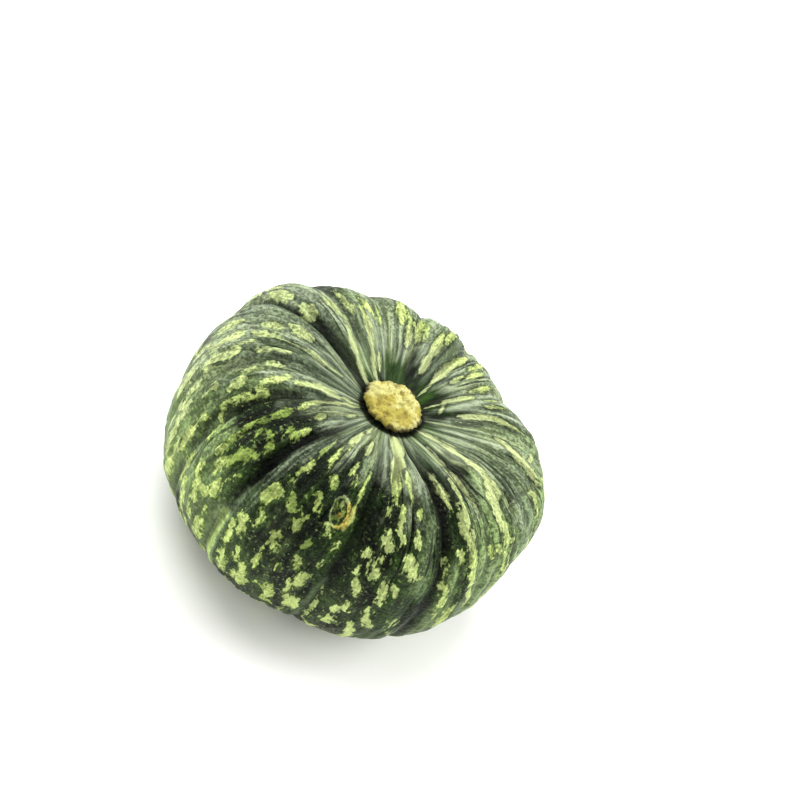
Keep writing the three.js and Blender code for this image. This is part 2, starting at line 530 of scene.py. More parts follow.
SIDE_MARKS = strokes(
    (1.9, 1.05, (-38, 40), (-38, 50)), (3.2, 1, (-37.8, 49), (-36.8, 62)),
    (4.4, 0.95, (-29.8, 48), (-30.6, 58), (-31.5, 66)), (6.4, 0.95, (-32, 64), (-32.3, 74)),
    (5.2, 1, (-32, 73), (-31, 82), (-29.3, 90)), (5, 1, (-29, 90), (-28.2, 98), (-26.8, 107)),
    (4.6, 1, (-26.5, 111), (-24, 119), (-21, 128)), (5, 1, (-35.8, 85), (-34.2, 89.5)),
    (2.4, 0.9, (-40.2, 88), (-40, 91.5)), (1.8, 0.95, (-38.9, 95.5), (-38.8, 98.5)),
    (3.6, 1, (-38, 103.5), (-37, 110), (-35.5, 117)),
    (5, 0.95, (-31.5, 120), (-31, 130), (-29.4, 139)), (1.4, 0.8, (-37.5, 120), (-37.2, 122)),
    (1.3, 0.8, (-35.8, 124), (-35.6, 128)),
    (1.4, 0.85, (-18.3, 25), (-20, 40), (-22, 55), (-22.8, 65)), (1.9, 1.05, (-2.5, 14), (-4, 30)),
    (2.8, 1.05, (-4, 27), (-7, 42)), (1.3, 0.8, (1.5, 20), (1.6, 38)),
    (4.4, 1, (-6.5, 40), (-7.2, 50), (-9, 60)), (8, 1, (-9.5, 58), (-11.5, 68)),
    (5, 1, (-13.5, 66), (-14.6, 77)), (3.6, 0.9, (-5.5, 66), (-5, 73)),
    (5.6, 1, (-13, 78), (-11.6, 91)), (1.8, 0.9, (-25.3, 40), (-25, 52)),
    (3.2, 0.8, (-22.6, 44), (-22, 54), (-21.2, 64)), (3, 0.95, (-19.8, 88), (-19.2, 95)),
    (3.4, 0.95, (-17, 87.5), (-16.2, 92.5)), (4.6, 1, (-13.5, 96), (-9.5, 114)),
    (4, 0.8, (-7.3, 90), (-7, 98)), (3, 0.8, (-9, 100), (-7, 112)),
    (4.4, 1, (22.8, 50), (19, 58), (16.5, 66), (15, 80)), (3, 1, (9.6, 76), (9, 100)),
    (3, 0.95, (35.5, 33), (34.8, 50), (33, 68)), (1.4, 0.5, (30.2, 30), (30.5, 43)),
    (3.8, 0.9, (22, 70), (26, 76)), (4, 0.9, (19, 82), (18.2, 92)),
)
FAR_MARKS = strokes(
    (1.3, 1.05, (37, 24), (49, 30.5)), (1, 1.05, (49, 19), (50.3, 33)),
    (2.6, 1, (50.5, 30), (51.5, 50)), (3, 0.85, (43, 50), (43.5, 62)),
    (2.6, 0.8, (48.5, 54), (49, 64)), (2.4, 0.9, (55.3, 48), (55.6, 66)),
    (3.2, 0.85, (64, 50), (64.5, 66)), (3.4, 0.95, (68, 55), (69, 76)),
    (2.6, 0.75, (65.5, 40), (65.5, 50)), (1.4, 1.05, (69.5, 18), (74.3, 33)),
    (4.4, 0.95, (75, 32), (76.5, 45), (75.5, 64)), (4, 0.9, (89.5, 30), (90.5, 42)),
    (4.2, 0.95, (90.5, 40), (91.5, 60)), (4.6, 0.95, (87.5, 56), (88.3, 76)),
    (2.8, 0.9, (99, 48), (100, 62)), (4, 0.95, (103.5, 46), (103, 70)),
    (4.2, 0.95, (109.5, 40), (110.5, 58)), (4.1, 0.9, (107, 57), (112, 60)),
    (5.2, 0.95, (115, 54), (114.5, 76)), (3, 0.85, (128, 50), (129, 66)),
    (2.2, 0.7, (135, 22), (135, 33)), (2, 1.05, (143, 14), (142, 26), (140, 36)),
    (3, 0.95, (140, 34), (138, 46), (139.2, 60)), (3, 0.9, (130, 52), (134, 58), (137, 66)),
    (3.4, 0.9, (144.5, 54), (146, 72)), (2.4, 1.05, (161, 14), (159.5, 26), (158, 34)),
    (4.6, 0.95, (158, 31), (156, 38), (154, 46)), (2.2, 0.8, (150.3, 43), (149.5, 56)),
    (7.5, 0.8, (153.8, 54), (154.5, 64)), (5.5, 0.95, (167, 57), (167, 66)),
    (7.5, 0.95, (167, 74), (167.3, 86)), (5, 0.9, (163, 86), (163.5, 96)),
)
LEFT_MARKS = strokes(
    (5.2, 0.9, (-175.5, 50), (-175, 62)), (1.7, 1.05, (-169, 28), (-166.8, 52), (-165.2, 76)),
    (4.2, 0.95, (-173, 65), (-172, 74)), (4.6, 0.95, (-167.2, 64), (-165.8, 77)),
    (3.6, 0.95, (-157.5, 57), (-156.5, 72)), (3.6, 0.7, (-161, 74), (-158.5, 84)),
    (7, 0.95, (-165, 84), (-162, 98)), (7, 0.85, (-156.5, 82), (-154.5, 99)),
    (1.5, 1.05, (-141, 17), (-141.5, 30)), (3.4, 1.05, (-141.5, 29), (-141.8, 42), (-140.4, 55)),
    (3.4, 0.8, (-143.5, 56), (-141, 64), (-139.5, 72)), (3.6, 0.7, (-151, 58), (-150, 70)),
    (4, 0.75, (-147, 70), (-146, 80)), (4, 0.75, (-142.5, 78), (-141.5, 88)),
    (1.5, 1.05, (-135.5, 17), (-135.2, 30)), (3.4, 1.05, (-134.8, 29), (-132.4, 42), (-128.8, 51)),
    (2.6, 0.95, (-128.5, 51), (-126.5, 58)), (3.4, 0.8, (-126.3, 62), (-125.5, 72)),
    (2, 0.85, (-125.7, 75), (-125.8, 83)), (1.4, 1.05, (-120.5, 22), (-120, 31)),
    (2.6, 1.05, (-119.5, 46), (-119.3, 53)), (2.2, 0.75, (-115.3, 57), (-114.7, 70)),
    (2.6, 0.7, (-117.5, 66), (-116.3, 70)), (4.4, 0.85, (-137.3, 70), (-136.7, 75)),
    (2.8, 0.85, (-136.7, 75), (-136.8, 84)),
    (2.2, 0.75, (-121.2, 85), (-121.3, 79), (-119, 76), (-116, 79), (-115.8, 85)),
    (3, 0.85, (-136.7, 86), (-136, 97)), (5, 0.85, (-118.3, 90), (-120, 97), (-122, 103)),
    (3.6, 0.8, (-125.5, 95), (-125.8, 103)), (2.8, 0.7, (-125.5, 84), (-125.7, 92)),
    (3.8, 0.9, (-122.3, 104), (-122, 112)), (2.6, 0.8, (-116, 103), (-115.7, 110)),
    (4.8, 0.95, (-118.3, 113), (-118.4, 119)),
    (4.6, 0.9, (-127.5, 116), (-125, 122), (-121, 124), (-117.5, 120)),
    (5, 0.9, (-123.5, 125), (-122.5, 134)), (2.8, 0.9, (-117.6, 129), (-117, 134)),
    (3.4, 0.7, (-144.5, 92), (-143.5, 102)), (4.6, 0.85, (-138.5, 104), (-137, 126)),
    (5, 0.85, (-139.5, 128), (-138.5, 150)), (7, 0.95, (-128.5, 136), (-127, 142), (-127.5, 152)),
    (4, 0.85, (-122, 138), (-121, 146)), (6, 0.8, (-157, 108), (-155, 122)),
    (6.4, 0.85, (-150.5, 106), (-149, 120)), (5.6, 0.8, (-146, 112), (-144.5, 126)),
    (5, 0.8, (-150, 124), (-148, 136)), (5, 0.8, (-161, 120), (-159, 132)),
    (5, 0.8, (-144, 128), (-142.5, 140)), (5, 0.8, (-166, 104), (-165, 116)),
    (5, 0.8, (-173, 86), (-171, 99)), (3.6, 0.7, (-132.5, 98), (-132, 108)),
    (4.4, 0.75, (-133, 122), (-132, 136)), (6, 0.9, (-117, 140), (-116.6, 152)),
)
MARKS = FRONT_MARKS + STREAKED_MARKS + SIDE_MARKS + FAR_MARKS + LEFT_MARKS

# clean stripes of smooth, lighter skin, which run down beside some of the creases
BANDS = strokes(
    (2.2, 0.85, (-111, 104), (-111.2, 122)),
    (7.2, 1, (-111.6, 122), (-111.2, 132), (-110.6, 144), (-110, 168)),
    (5, 0.4, (-47, 68), (-48, 80), (-48, 92), (-46, 112)),
    (4.5, 0.6, (-20.5, 90), (-20, 120), (-19.5, 145)), (10.5, 0.8, (1, 62), (1.4, 85), (2, 115)),
    (3, 0.45, (-75, 120), (-75, 160)), (3.5, 0.5, (-22, 66), (-21, 88)),
    (4, 0.5, (27, 76), (27, 110)), (4, 0.5, (105, 80), (105, 130)), (4, 0.5, (80, 76), (80, 130)),
    (4, 0.6, (150, 90), (150, 140)), (4, 0.6, (-133, 90), (-133, 140)),
)

# stripes of plain dark skin, mostly painted shade down in the creases
SHADES = strokes(
    (5, 0.85, (-111.5, 54), (-111.6, 80), (-111.5, 110)),
    (4.5, 0.65, (-41.5, 20), (-42.5, 60), (-42.5, 86)), (8, 0.4, (-43.5, 58), (-43.5, 94)),
    (3.5, 0.35, (-40, 95), (-39, 130), (-38, 165)), (7, 0.45, (-74, 62), (-74, 100), (-74, 150)),
    (3.6, 0.7, (-17.5, 32), (-17.5, 62)), (7, 1, (168, 6), (167, 45), (168, 56)),
    (5, 1, (170, 56), (173, 90)), (3.5, 0.9, (-34.5, 41), (-33.3, 50), (-34, 60)),
    (5, 0.7, (-136, 50), (-134, 62)), (2.6, 0.8, (-137, 62), (-137, 78), (-135.5, 108)),
    (3, 0.7, (-152.5, 64), (-151, 80)), (3, 0.7, (-176, 42), (-172, 60)),
    (2.6, 0.7, (-163, 50), (-161.5, 72)), (4, 0.7, (-153, 56), (-151, 66)),
    (3, 0.7, (-24, 40), (-25, 50)), (3.5, 0.6, (-150, 76), (-149, 100)),
)

# broad stretches of lighter skin, partly painted sheen where the flanks catch the light
LIGHTS = strokes(
    (14, 0.9, (-131, 98), (-128, 140)), (20, 0.8, (-143, 100), (-138, 190)),
    (7, 0.8, (0, 22), (0.5, 36)), (26, 1, (-18, 56), (-16, 100), (-12, 200)),
    (8, 0.8, (-36, 96), (-33, 190)), (18, 1, (3, 56), (3, 150)), (34, 0.6, (-168, 60), (-160, 180)),
    (22, 0.6, (-146, 56), (-146, 170)), (12, 0.25, (-95, 100), (-94, 150)),
    (16, 0.5, (-122, 112), (-118, 150)), (9, 0.6, (-113, 122), (-113, 165)),
    (8, 0.35, (-49, 60), (-48, 106)), (12, 0.1, (-55, 134), (-53, 160)),
    (12, 1, (154, 26), (153, 70)), (34, 1, (20, 50), (20, 150)), (50, 0.9, (70, 52), (70, 150)),
    (50, 0.9, (118, 52), (118, 150)), (24, 0.2, (-168, 34), (-150, 56)),
)

# broad stretches of darker skin, partly painted shade
DARKS = strokes(
    (22, 0.5, (-52, 118), (-50, 165)), (6, 0.8, (-159, 58), (-157, 78)),
    (6, 0.7, (-149.5, 72), (-148, 100)), (6, 0.7, (-139, 58), (-137.5, 100)),
    (62, 0.9, (-84, 118), (-82, 165)), (20, 1, (-119, 60), (-119, 92)),
    (8, 1, (-133, 54), (-133, 72)), (24, 0.9, (-92, 62), (-90, 108)),
    (15, 0.6, (-72, 58), (-72, 110)), (10, 1, (-43, 52), (-42, 84)),
    (9, 0.5, (-42, 84), (-41, 120)), (8, 0.8, (-151, 66), (-151, 84)),
)

# broad stretches where the marks are dimmer, partly painted shade
DIMS = strokes(
    (20, 1, (-123, 66), (-120, 98)), (14, 0.35, (-93, 68), (-92, 104)),
    (12, 0.4, (-104, 90), (-103, 99)), (12, 0.9, (-98.5, 86), (-97, 94)),
    (11, 0.8, (-94, 95), (-92, 103)), (10, 0.6, (-92, 79), (-91, 88)),
    (10, 0.9, (-86.5, 102), (-85.5, 107)), (6, 0.6, (-134, 66), (-134, 84)),
)

# stretches where thin dark furrows run down the skin
FURROWS = strokes(
    (14, 1, (-62, 44), (-60, 70), (-57, 100)), (8, 0.9, (-30, 40), (-28, 84)),
    (9, 0.7, (-112, 50), (-110, 96)), (9, 0.8, (-17, 38), (-15, 90)),
    (10, 0.5, (-168, 40), (-160, 90)), (10, 0.5, (-150, 40), (-146, 90)),
    (10, 0.6, (-134, 60), (-130, 110)),
)

# stripes of fine raised fibres
FIBRES = strokes(
    (5, 1, (-107.4, 54), (-107.8, 80), (-108.6, 122)), (4, 0.8, (-48.5, 48), (-49.5, 66)),
    (4, 0.6, (-17, 40), (-18, 60), (-20, 74)), (6, 0.6, (-134, 112), (-132, 124), (-130, 136)),
    (5, 0.5, (6, 40), (6, 66)),
)


# for each kind of stretch, its strokes and how far their edges are blurred, in millimetres
STRETCHES = {
    "shade": (SHADES, 2.0),
    "band": (BANDS, 1.2),
    "fibre": (FIBRES, 1.5),
    "light": (LIGHTS, 5.0),
    "dark": (DARKS, 5.0),
    "furrow": (FURROWS, 4.0),
    "dim": (DIMS, 5.0),
}


@dataclass(frozen=True)
class Hidden:
    """Marks that grow where nobody has looked, in the same rows as the rest.

    Attributes:
        edge: Bearings, each with the distance down the skin at which its own marks begin.
        row_gap: How far apart the rows of marks are, in degrees.
        end: The distance down the skin at which the marks end.
        seed: Starts the random draws.
        first_gap: How far down its row the first mark begins, in millimetres, as the next ones are.
        gap: How far apart the marks in a row are.
        length: How long a mark is, before the stretch.
        stretch: The distance at which marks begin to get longer, and over which they grow by one length.
        width: How wide a mark is, before it narrows.
        narrow: The distance at which marks would get to nothing, and over which they narrow.
        sway: How far a mark lies from the middle of its row, in degrees.
        lean: How far its end lies from its start, in degrees.
        tone: Its tone.
    """

    edge: Bearings = (
        (-180, 93), (-165, 137), (-150, 147), (-135, 154), (-110, 160), (-55, 157), (-40, 150), (-25, 137),
        (-10, 114), (10, 102), (30, 88), (50, 78), (115, 78), (130, 80), (150, 88), (170, 98), (180, 93),
    )  # fmt: skip
    row_gap: float = 7.2
    end: float = 232.0
    seed: int = 11
    first_gap: Pair = (-2, 12)
    gap: Pair = (4, 12)
    length: Pair = (5, 15)
    stretch: Pair = (170, 60)
    width: Pair = (2.6, 6.4)
    narrow: Pair = (250, 80)
    sway: Pair = (-2.4, 2.4)
    lean: Pair = (-1.6, 1.6)
    tone: Pair = (0.7, 1.0)

    def grow(self) -> tuple[Stroke, ...]:
        """Makes the marks, the same each time.

        Returns:
            The marks as strokes.
        """
        draw = random.Random(self.seed)
        bearings, distances = zip(*self.edge)
        made = []
        for row in range(round(360 / self.row_gap)):
            bearing = -180 + row * self.row_gap
            place = float(np.interp(bearing, bearings, distances)) + draw.uniform(*self.first_gap)
            while place < self.end:
                longer = 1 + max(0, place - self.stretch[0]) / self.stretch[1]
                length = draw.uniform(*self.length) * longer
                lean = draw.uniform(*self.lean)
                start = bearing + draw.uniform(*self.sway)
                width = draw.uniform(*self.width) * min(1.0, (self.narrow[0] - place) / self.narrow[1])
                path = ((start, place), (start + lean, place + length))
                made.append(Stroke(width, path, draw.uniform(*self.tone)))
                place += length + draw.uniform(*self.gap)
        return tuple(made)


@dataclass
class Skin:
    """Where each vertex of the rind lies, and how strongly each stroke shows there.

    Attributes:
        bearing: Its bearing round the stem in degrees.
        distance: Its distance down the skin in millimetres.
        radius: Its way from the stem's axis in millimetres.
        least_radius: The least radius that counts, next to the axis.
        reach: How far outside a stroke its depth is still worked out, in millimetres.
        search: How far beyond a stroke's ends its vertices are looked for.
        tip: How long the pointed end of a stroke near the stem is.
        tips_fade: The distances down the skin between which the ends get blunt.
        tip_width: The share of its width that a pointed end keeps, and how much the rest has over that.
    """

    bearing: np.ndarray
    distance: np.ndarray
    radius: np.ndarray
    least_radius: float = 1.0
    reach: float = 6.0
    search: float = 9.0
    tip: float = 8.0
    tips_fade: Pair = (50, 95)
    tip_width: Pair = (0.5, 0.65)

    def turned(self) -> np.ndarray:
        """The bearings from -180 to 180 degrees."""
        return (self.bearing + 180) % 360 - 180

    def per_degree(self) -> np.ndarray:
        """How many millimetres of skin a degree of bearing is."""
        return np.maximum(self.radius, self.least_radius) * math.pi / 180

    def inside(self, drawn: tuple[Stroke, ...]) -> tuple[np.ndarray, np.ndarray]:
        """How far inside the strokes each vertex is.

        Args:
            drawn: The strokes.

        Returns:
            Millimetres inside the nearest stroke's edge, below 0 outside, and that stroke's tone.
        """
        depth = np.full(len(self.bearing), -self.reach)
        tone = np.zeros(len(self.bearing))
        per_degree = self.per_degree()
        for stroke in drawn:
            half = stroke.width / 2 * self.taper(stroke)
            for start, end in zip(stroke.path, stroke.path[1:] or stroke.path):
                middle = (start[0] + end[0]) / 2
                side = (self.bearing - middle + 180) % 360 - 180
                low, high = min(start[1], end[1]) - self.search, max(start[1], end[1]) + self.search
                reach = abs(end[0] - start[0]) / 2 * per_degree + stroke.width + self.reach
                near = (np.abs(side) * per_degree < reach) & (self.distance > low) & (self.distance < high)
                if not near.any():
                    continue
                scale = per_degree[near]
                x, y = (side[near] + middle - start[0]) * scale, self.distance[near] - start[1]
                run, rise = (end[0] - start[0]) * scale, end[1] - start[1]
                t = np.clip((x * run + y * rise) / (run**2 + rise**2 + TINY), 0, 1)
                found = half[near] - np.hypot(x - run * t, y - rise * t)
                better = found > depth[near]
                depth[near] = np.where(better, found, depth[near])
                tone[near] = np.where(better, stroke.tone, tone[near])
        return depth, tone

    def taper(self, stroke: Stroke) -> np.ndarray:
        """How much of its width a stroke keeps at each vertex: near the stem, the ends run out to points.

        Args:
            stroke: The stroke.

        Returns:
            A share of the width for each vertex.
        """
        distances = [place[1] for place in stroke.path]
        low, high = min(distances), max(distances)
        pointed = 1 - float(smoothstep(np.array(low), *self.tips_fade))
        tip = min((high - low) / 2, self.tip) * pointed
        if high - low < stroke.width or tip <= 0:
            return np.ones(len(self.distance))
        nearest = np.minimum(self.distance - low, high - self.distance)
        return self.tip_width[0] + self.tip_width[1] * smoothstep(nearest, -stroke.width / 2, tip)

    def soft(self, drawn: tuple[Stroke, ...], blur: float) -> np.ndarray:
        """How strongly strokes with blurred edges show.

        Args:
            drawn: The strokes.
            blur: How far to each side their edges are blurred, in millimetres.

        Returns:
            A strength from 0 to 1 for each vertex.
        """
        depth, tone = self.inside(drawn)
        return smoothstep(depth, -blur, blur) * tone


@dataclass(frozen=True)
class Scar:
    """An old healed ring on the skin, oval, higher at its rim, in millimetres and degrees."""

    bearing: float = -82.9
    distance: float = 83.0
    half_width: float = 4.6
    half_length: float = 8.2
    lean: float = -16.0
    rim_height: float = 0.55
    rim_place: float = 0.88  # these three are shares of the way from the middle to the edge
    rim_width: float = 0.16
    middle_edge: Pair = (0.3, 0.85)
    middle_depth: float = 0.5

    def place(self, skin: Skin) -> np.ndarray:
        """Works out where vertices lie in the scar's own space.

        Args:
            skin: Where they lie on the skin.

        Returns:
            Each vertex's place from the scar's middle, in half widths and half lengths.
        """
        per_degree = skin.radius * math.pi / 180
        x = ((skin.bearing - self.bearing + 180) % 360 - 180) * per_degree
        y = skin.distance - self.distance
        turn = math.radians(self.lean)
        across = x * math.cos(turn) + y * math.sin(turn)
        down = y * math.cos(turn) - x * math.sin(turn)
        return np.column_stack([across / self.half_width, down / self.half_length, np.zeros(len(x))])

    def relief(self, place: np.ndarray) -> np.ndarray:
        """How far the scar stands proud of the skin.

        Args:
            place: Where the vertices lie in the scar's own space.

        Returns:
            Millimetres outwards for each vertex.
        """
        reach = np.hypot(place[:, 0], place[:, 1])
        rim = np.exp(-(((reach - self.rim_place) / self.rim_width) ** 2))
        return self.rim_height * rim - self.middle_depth * (1 - smoothstep(reach, *self.middle_edge))


@dataclass(frozen=True)
class BlossomScar:
    """The corky button where the flower fell off, in the hollow underneath, in millimetres."""

    radius: float = 6.6
    height: float = 0.9
    rim: Pair = (-0.4, 1.6)
    tip: Pair = (3.0, 6.5)
    tip_share: float = 0.8
    lobes: tuple[Wave, ...] = (Wave(3, 0.1, 40), Wave(5, 0.07, 10), Wave(8, 0.04, 5))

    def depth(self, to_end: np.ndarray, bearing: np.ndarray) -> np.ndarray:
        """How far inside the button's edge each vertex lies, in millimetres."""
        return self.radius * swell(self.lobes, bearing) - to_end

    def relief(self, depth: np.ndarray) -> np.ndarray:
        """How far the button stands proud of the skin: a low rim round a sunken tip, in millimetres."""
        return self.height * (smoothstep(depth, *self.rim) - self.tip_share * smoothstep(depth, *self.tip))


# ---------------------------------------------------------------- objects by hand


def deselect() -> None:
    """Leaves nothing selected, so that an operator acts on the new piece alone."""
    bpy.ops.object.select_all(action="DESELECT")


def mesh_points(piece: bpy.types.Object) -> np.ndarray:
    """Reads where the piece's vertices are.

    Args:
        piece: The mesh object.

    Returns:
        One row for each vertex.
    """
    points = np.empty(len(piece.data.vertices) * 3)
    piece.data.vertices.foreach_get("co", points)
    return points.reshape(-1, 3)


def store(piece: bpy.types.Object, **fields: np.ndarray) -> None:
    """Keeps values, or vectors, for each vertex, where the materials can read them.

    Args:
        piece: The mesh object that keeps them.
        **fields: By name, a value or a row of three for each vertex.
    """
    for name, values in fields.items():
        vector = values.ndim == 2
        layer = piece.data.attributes.new(name, "FLOAT_VECTOR" if vector else "FLOAT", "POINT")
        layer.data.foreach_set("vector" if vector else "value", values.astype(np.float32).ravel())


def fit(piece: bpy.types.Object, points: np.ndarray, node: str) -> Vector:
    """Gives the piece's vertices their places, fitted to the box that a CAD node fills.

    Args:
        piece: The mesh object.
        points: The finished shape, in its own unit.
        node: The CAD node's name.

    Returns:
        Where the shape's own origin comes to lie, in metres.
    """
    low, high = (np.array(corner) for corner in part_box(node))
    own_low, own_high = points.min(0), points.max(0)
    scale = (high - low) / (own_high - own_low)
    LOG.info("%s: fitted to the CAD box by %s", piece.name, np.round(scale / MM, 4).tolist())
    piece.data.vertices.foreach_set("co", (low + (points - own_low) * scale).ravel())
    piece.data.update()
    return Vector(low - own_low * scale)


def subdivide(cuts: int) -> None:
    """Cuts every edge of the active piece's mesh into equal parts.

    Args:
        cuts: The number of cuts in each edge.
    """
    bpy.ops.object.mode_set(mode="EDIT")
    bpy.ops.mesh.select_all(action="SELECT")
    bpy.ops.mesh.subdivide(number_cuts=cuts)
    bpy.ops.object.mode_set(mode="OBJECT")


# ---------------------------------------------------------------- the rind's finish
#
# Distances are millimetres, down the skin from the stem or to the right of it. A rise over them says where
# it starts and ends, and what it goes from and to, or else 0 to 1. A pixel of the render is about half
# a millimetre of skin.

MARK = "#bdce7b"
MARK_DIM = "#758b3e"
# near-black for dark outlines and furrows, and for the painted shade in the creases
SHADE = "#081006"


@dataclass(frozen=True)
class FurrowFinish:
    """Thin dark furrows that run down the lobes, here and there."""

    lines: Grain = Grain(5.0, 14, seed=15)
    line: Rise = (0.034, 0.008)
    spread: Grain = Grain(22, 2.0, detail=1, seed=16)
    somewhere: Rise = (0.5, 0.62, 0, 0.7)
    begins: Rise = (32, 50)
    ends: Rise = (150, 110)

    def share(self, add: Adder, down: Socket) -> Socket:
        """How much of each place is furrow, from 0 to 1.

        Args:
            add: Adds a node to the material.
            down: The distance down the skin.

        Returns:
            The share.
        """
        line = add(Step.RISE, add(Step.SIZE, self.lines.swing(add)), *self.line)
        somewhere = add(Step.RISE, self.spread.lay(add), *self.somewhere)
        somewhere = add(Step.LARGER, somewhere, add(Step.VALUE, attribute_name="furrow"))
        along = add(Step.TIMES, add(Step.RISE, down, *self.begins), add(Step.RISE, down, *self.ends))
        return add(Step.TIMES, add(Step.TIMES, line, somewhere), along)


@dataclass(frozen=True)
class PoreFinish:
    """The skin's fine relief: soft ripples near the stem, which break up into pores further down.

    Real pores are too fine to show, so they are drawn as coarse as they need to be, 0.8 mm wide.
    """

    ripples: Grain = Grain(3.2, 10, 3, 0.6, seed=6)
    dimples: Grain = Grain(1.8, 2.4, 3, 0.65, seed=2)
    ripple_share: Rise = (50, 100, 0.7, 0.28)
    uneven: Rise = (30, 60, 0.6, 1.1)
    pores: Grain = Grain(0.8, 1.3, seed=7)
    porous: Rise = (36, 60, 0.25, 0.9)
    smooth: Rise = (95, 140, 1.0, 0.4)
    furrow_depth: float = 0.16

    def height(self, add: Adder, down: Socket, furrows: Socket) -> Socket:
        """How high the skin stands at each place.

        Args:
            add: Adds a node to the material.
            down: The distance down the skin.
            furrows: How much of each place is furrow.

        Returns:
            The height, in a unit of its own, about 0.5 on average.
        """
        share = add(Step.RISE, down, *self.ripple_share)
        mixed = add(Step.BETWEEN, share, self.dimples.lay(add), self.ripples.lay(add))
        smooth = add(Step.RISE, down, *self.smooth)
        fine = add(Step.TIMES, self.pores.swing(add), add(Step.RISE, down, *self.porous))
        fine = add(Step.TIMES, fine, smooth)
        uneven = add(Step.TIMES, add(Step.LESS, mixed, NOISE_MIDDLE), add(Step.RISE, down, *self.uneven))
        uneven = add(Step.TIMES, uneven, smooth)
        cut = add(Step.TIMES_PLUS, furrows, -self.furrow_depth, NOISE_MIDDLE)
        return add(Step.PLUS, fine, add(Step.PLUS, uneven, cut))


@dataclass(frozen=True)
class FleckFinish:
    """Fine pale flecks, crowded in some places and rare in others.

    The smallest are too fine to show at their real size, so they are drawn 0.8 mm wide.
    """

    small: Grain = Grain(0.8, 1.5, detail=1, seed=3)
    small_share: Rise = (0.75, 0.9, 0, 0.55)
    large: Grain = Grain(1.8, 1.6, roughness=0.6, seed=13)
    large_share: Rise = (0.83, 0.88, 0, 0.6)
    crowds: Grain = Grain(12, 1.5, seed=9)
    crowding: float = 0.3
    begins: Rise = (40, 60)

    def share(self, add: Adder, down: Socket) -> Socket:
        """How much of each place is fleck, from 0 to 1.

        Args:
            add: Adds a node to the material.
            down: The distance down the skin.

        Returns:
            The share.
        """
        small, large = self.small.lay(add), self.large.lay(add)
        plenty = add(Step.TIMES, self.crowds.lay(add), self.crowding)
        small = add(Step.RISE, add(Step.PLUS, small, plenty), *self.small_share)
        large = add(Step.RISE, add(Step.PLUS, large, plenty), *self.large_share)
        return add(Step.TIMES, add(Step.LARGER, small, large), add(Step.RISE, down, *self.begins))


@dataclass(frozen=True)
class BloomAndSheenFinish:
    """Dry bloom and painted sheen on the upper skin, greying the green in streaks, a little yellow in
    places.
    """

    grey: str = "#6b7860"
    pale: str = "#949f83"
    pale_share: Rise = (0.39, 0.64)
    tint: str = "#a9b67e"
    tints: Grain = Grain(3.8, 16, seed=17)
    tint_share: Rise = (0.5, 0.66, 0, 0.5)
    streaks: Grain = Grain(3.2, 11, detail=3, seed=6)
    streakiness: float = 0.85
    cloudiness: float = 0.45
    thickness: Rise = (0.46, 0.78, 0.52, 0.94)

    def lay(self, add: Adder, skin: Socket, clouds: Socket) -> Socket:
        """Lays the bloom and painted sheen over the skin.

        Args:
            add: Adds a node to the material.
            skin: The skin's colour.
            clouds: The noise that the skin's lighter and darker stretches follow.

        Returns:
            The colour with the bloom and painted sheen.
        """
        streak = self.streaks.lay(add)
        dusty = add(Step.TIMES, streak, self.streakiness)
        dusty = add(Step.TIMES_PLUS, clouds, self.cloudiness, dusty)
        thick = add(Step.RISE, dusty, *self.thickness)
        thick = add(Step.TIMES, add(Step.VALUE, attribute_name="bloom"), thick)
        # the grey and pale dust is real dry bloom and painted sheen
        dust = add(Step.COVER, add(Step.RISE, streak, *self.pale_share), self.grey, self.pale)
        dust = add(Step.COVER, add(Step.RISE, self.tints.lay(add), *self.tint_share), dust, self.tint)
        return add(Step.COVER, thick, skin, dust)


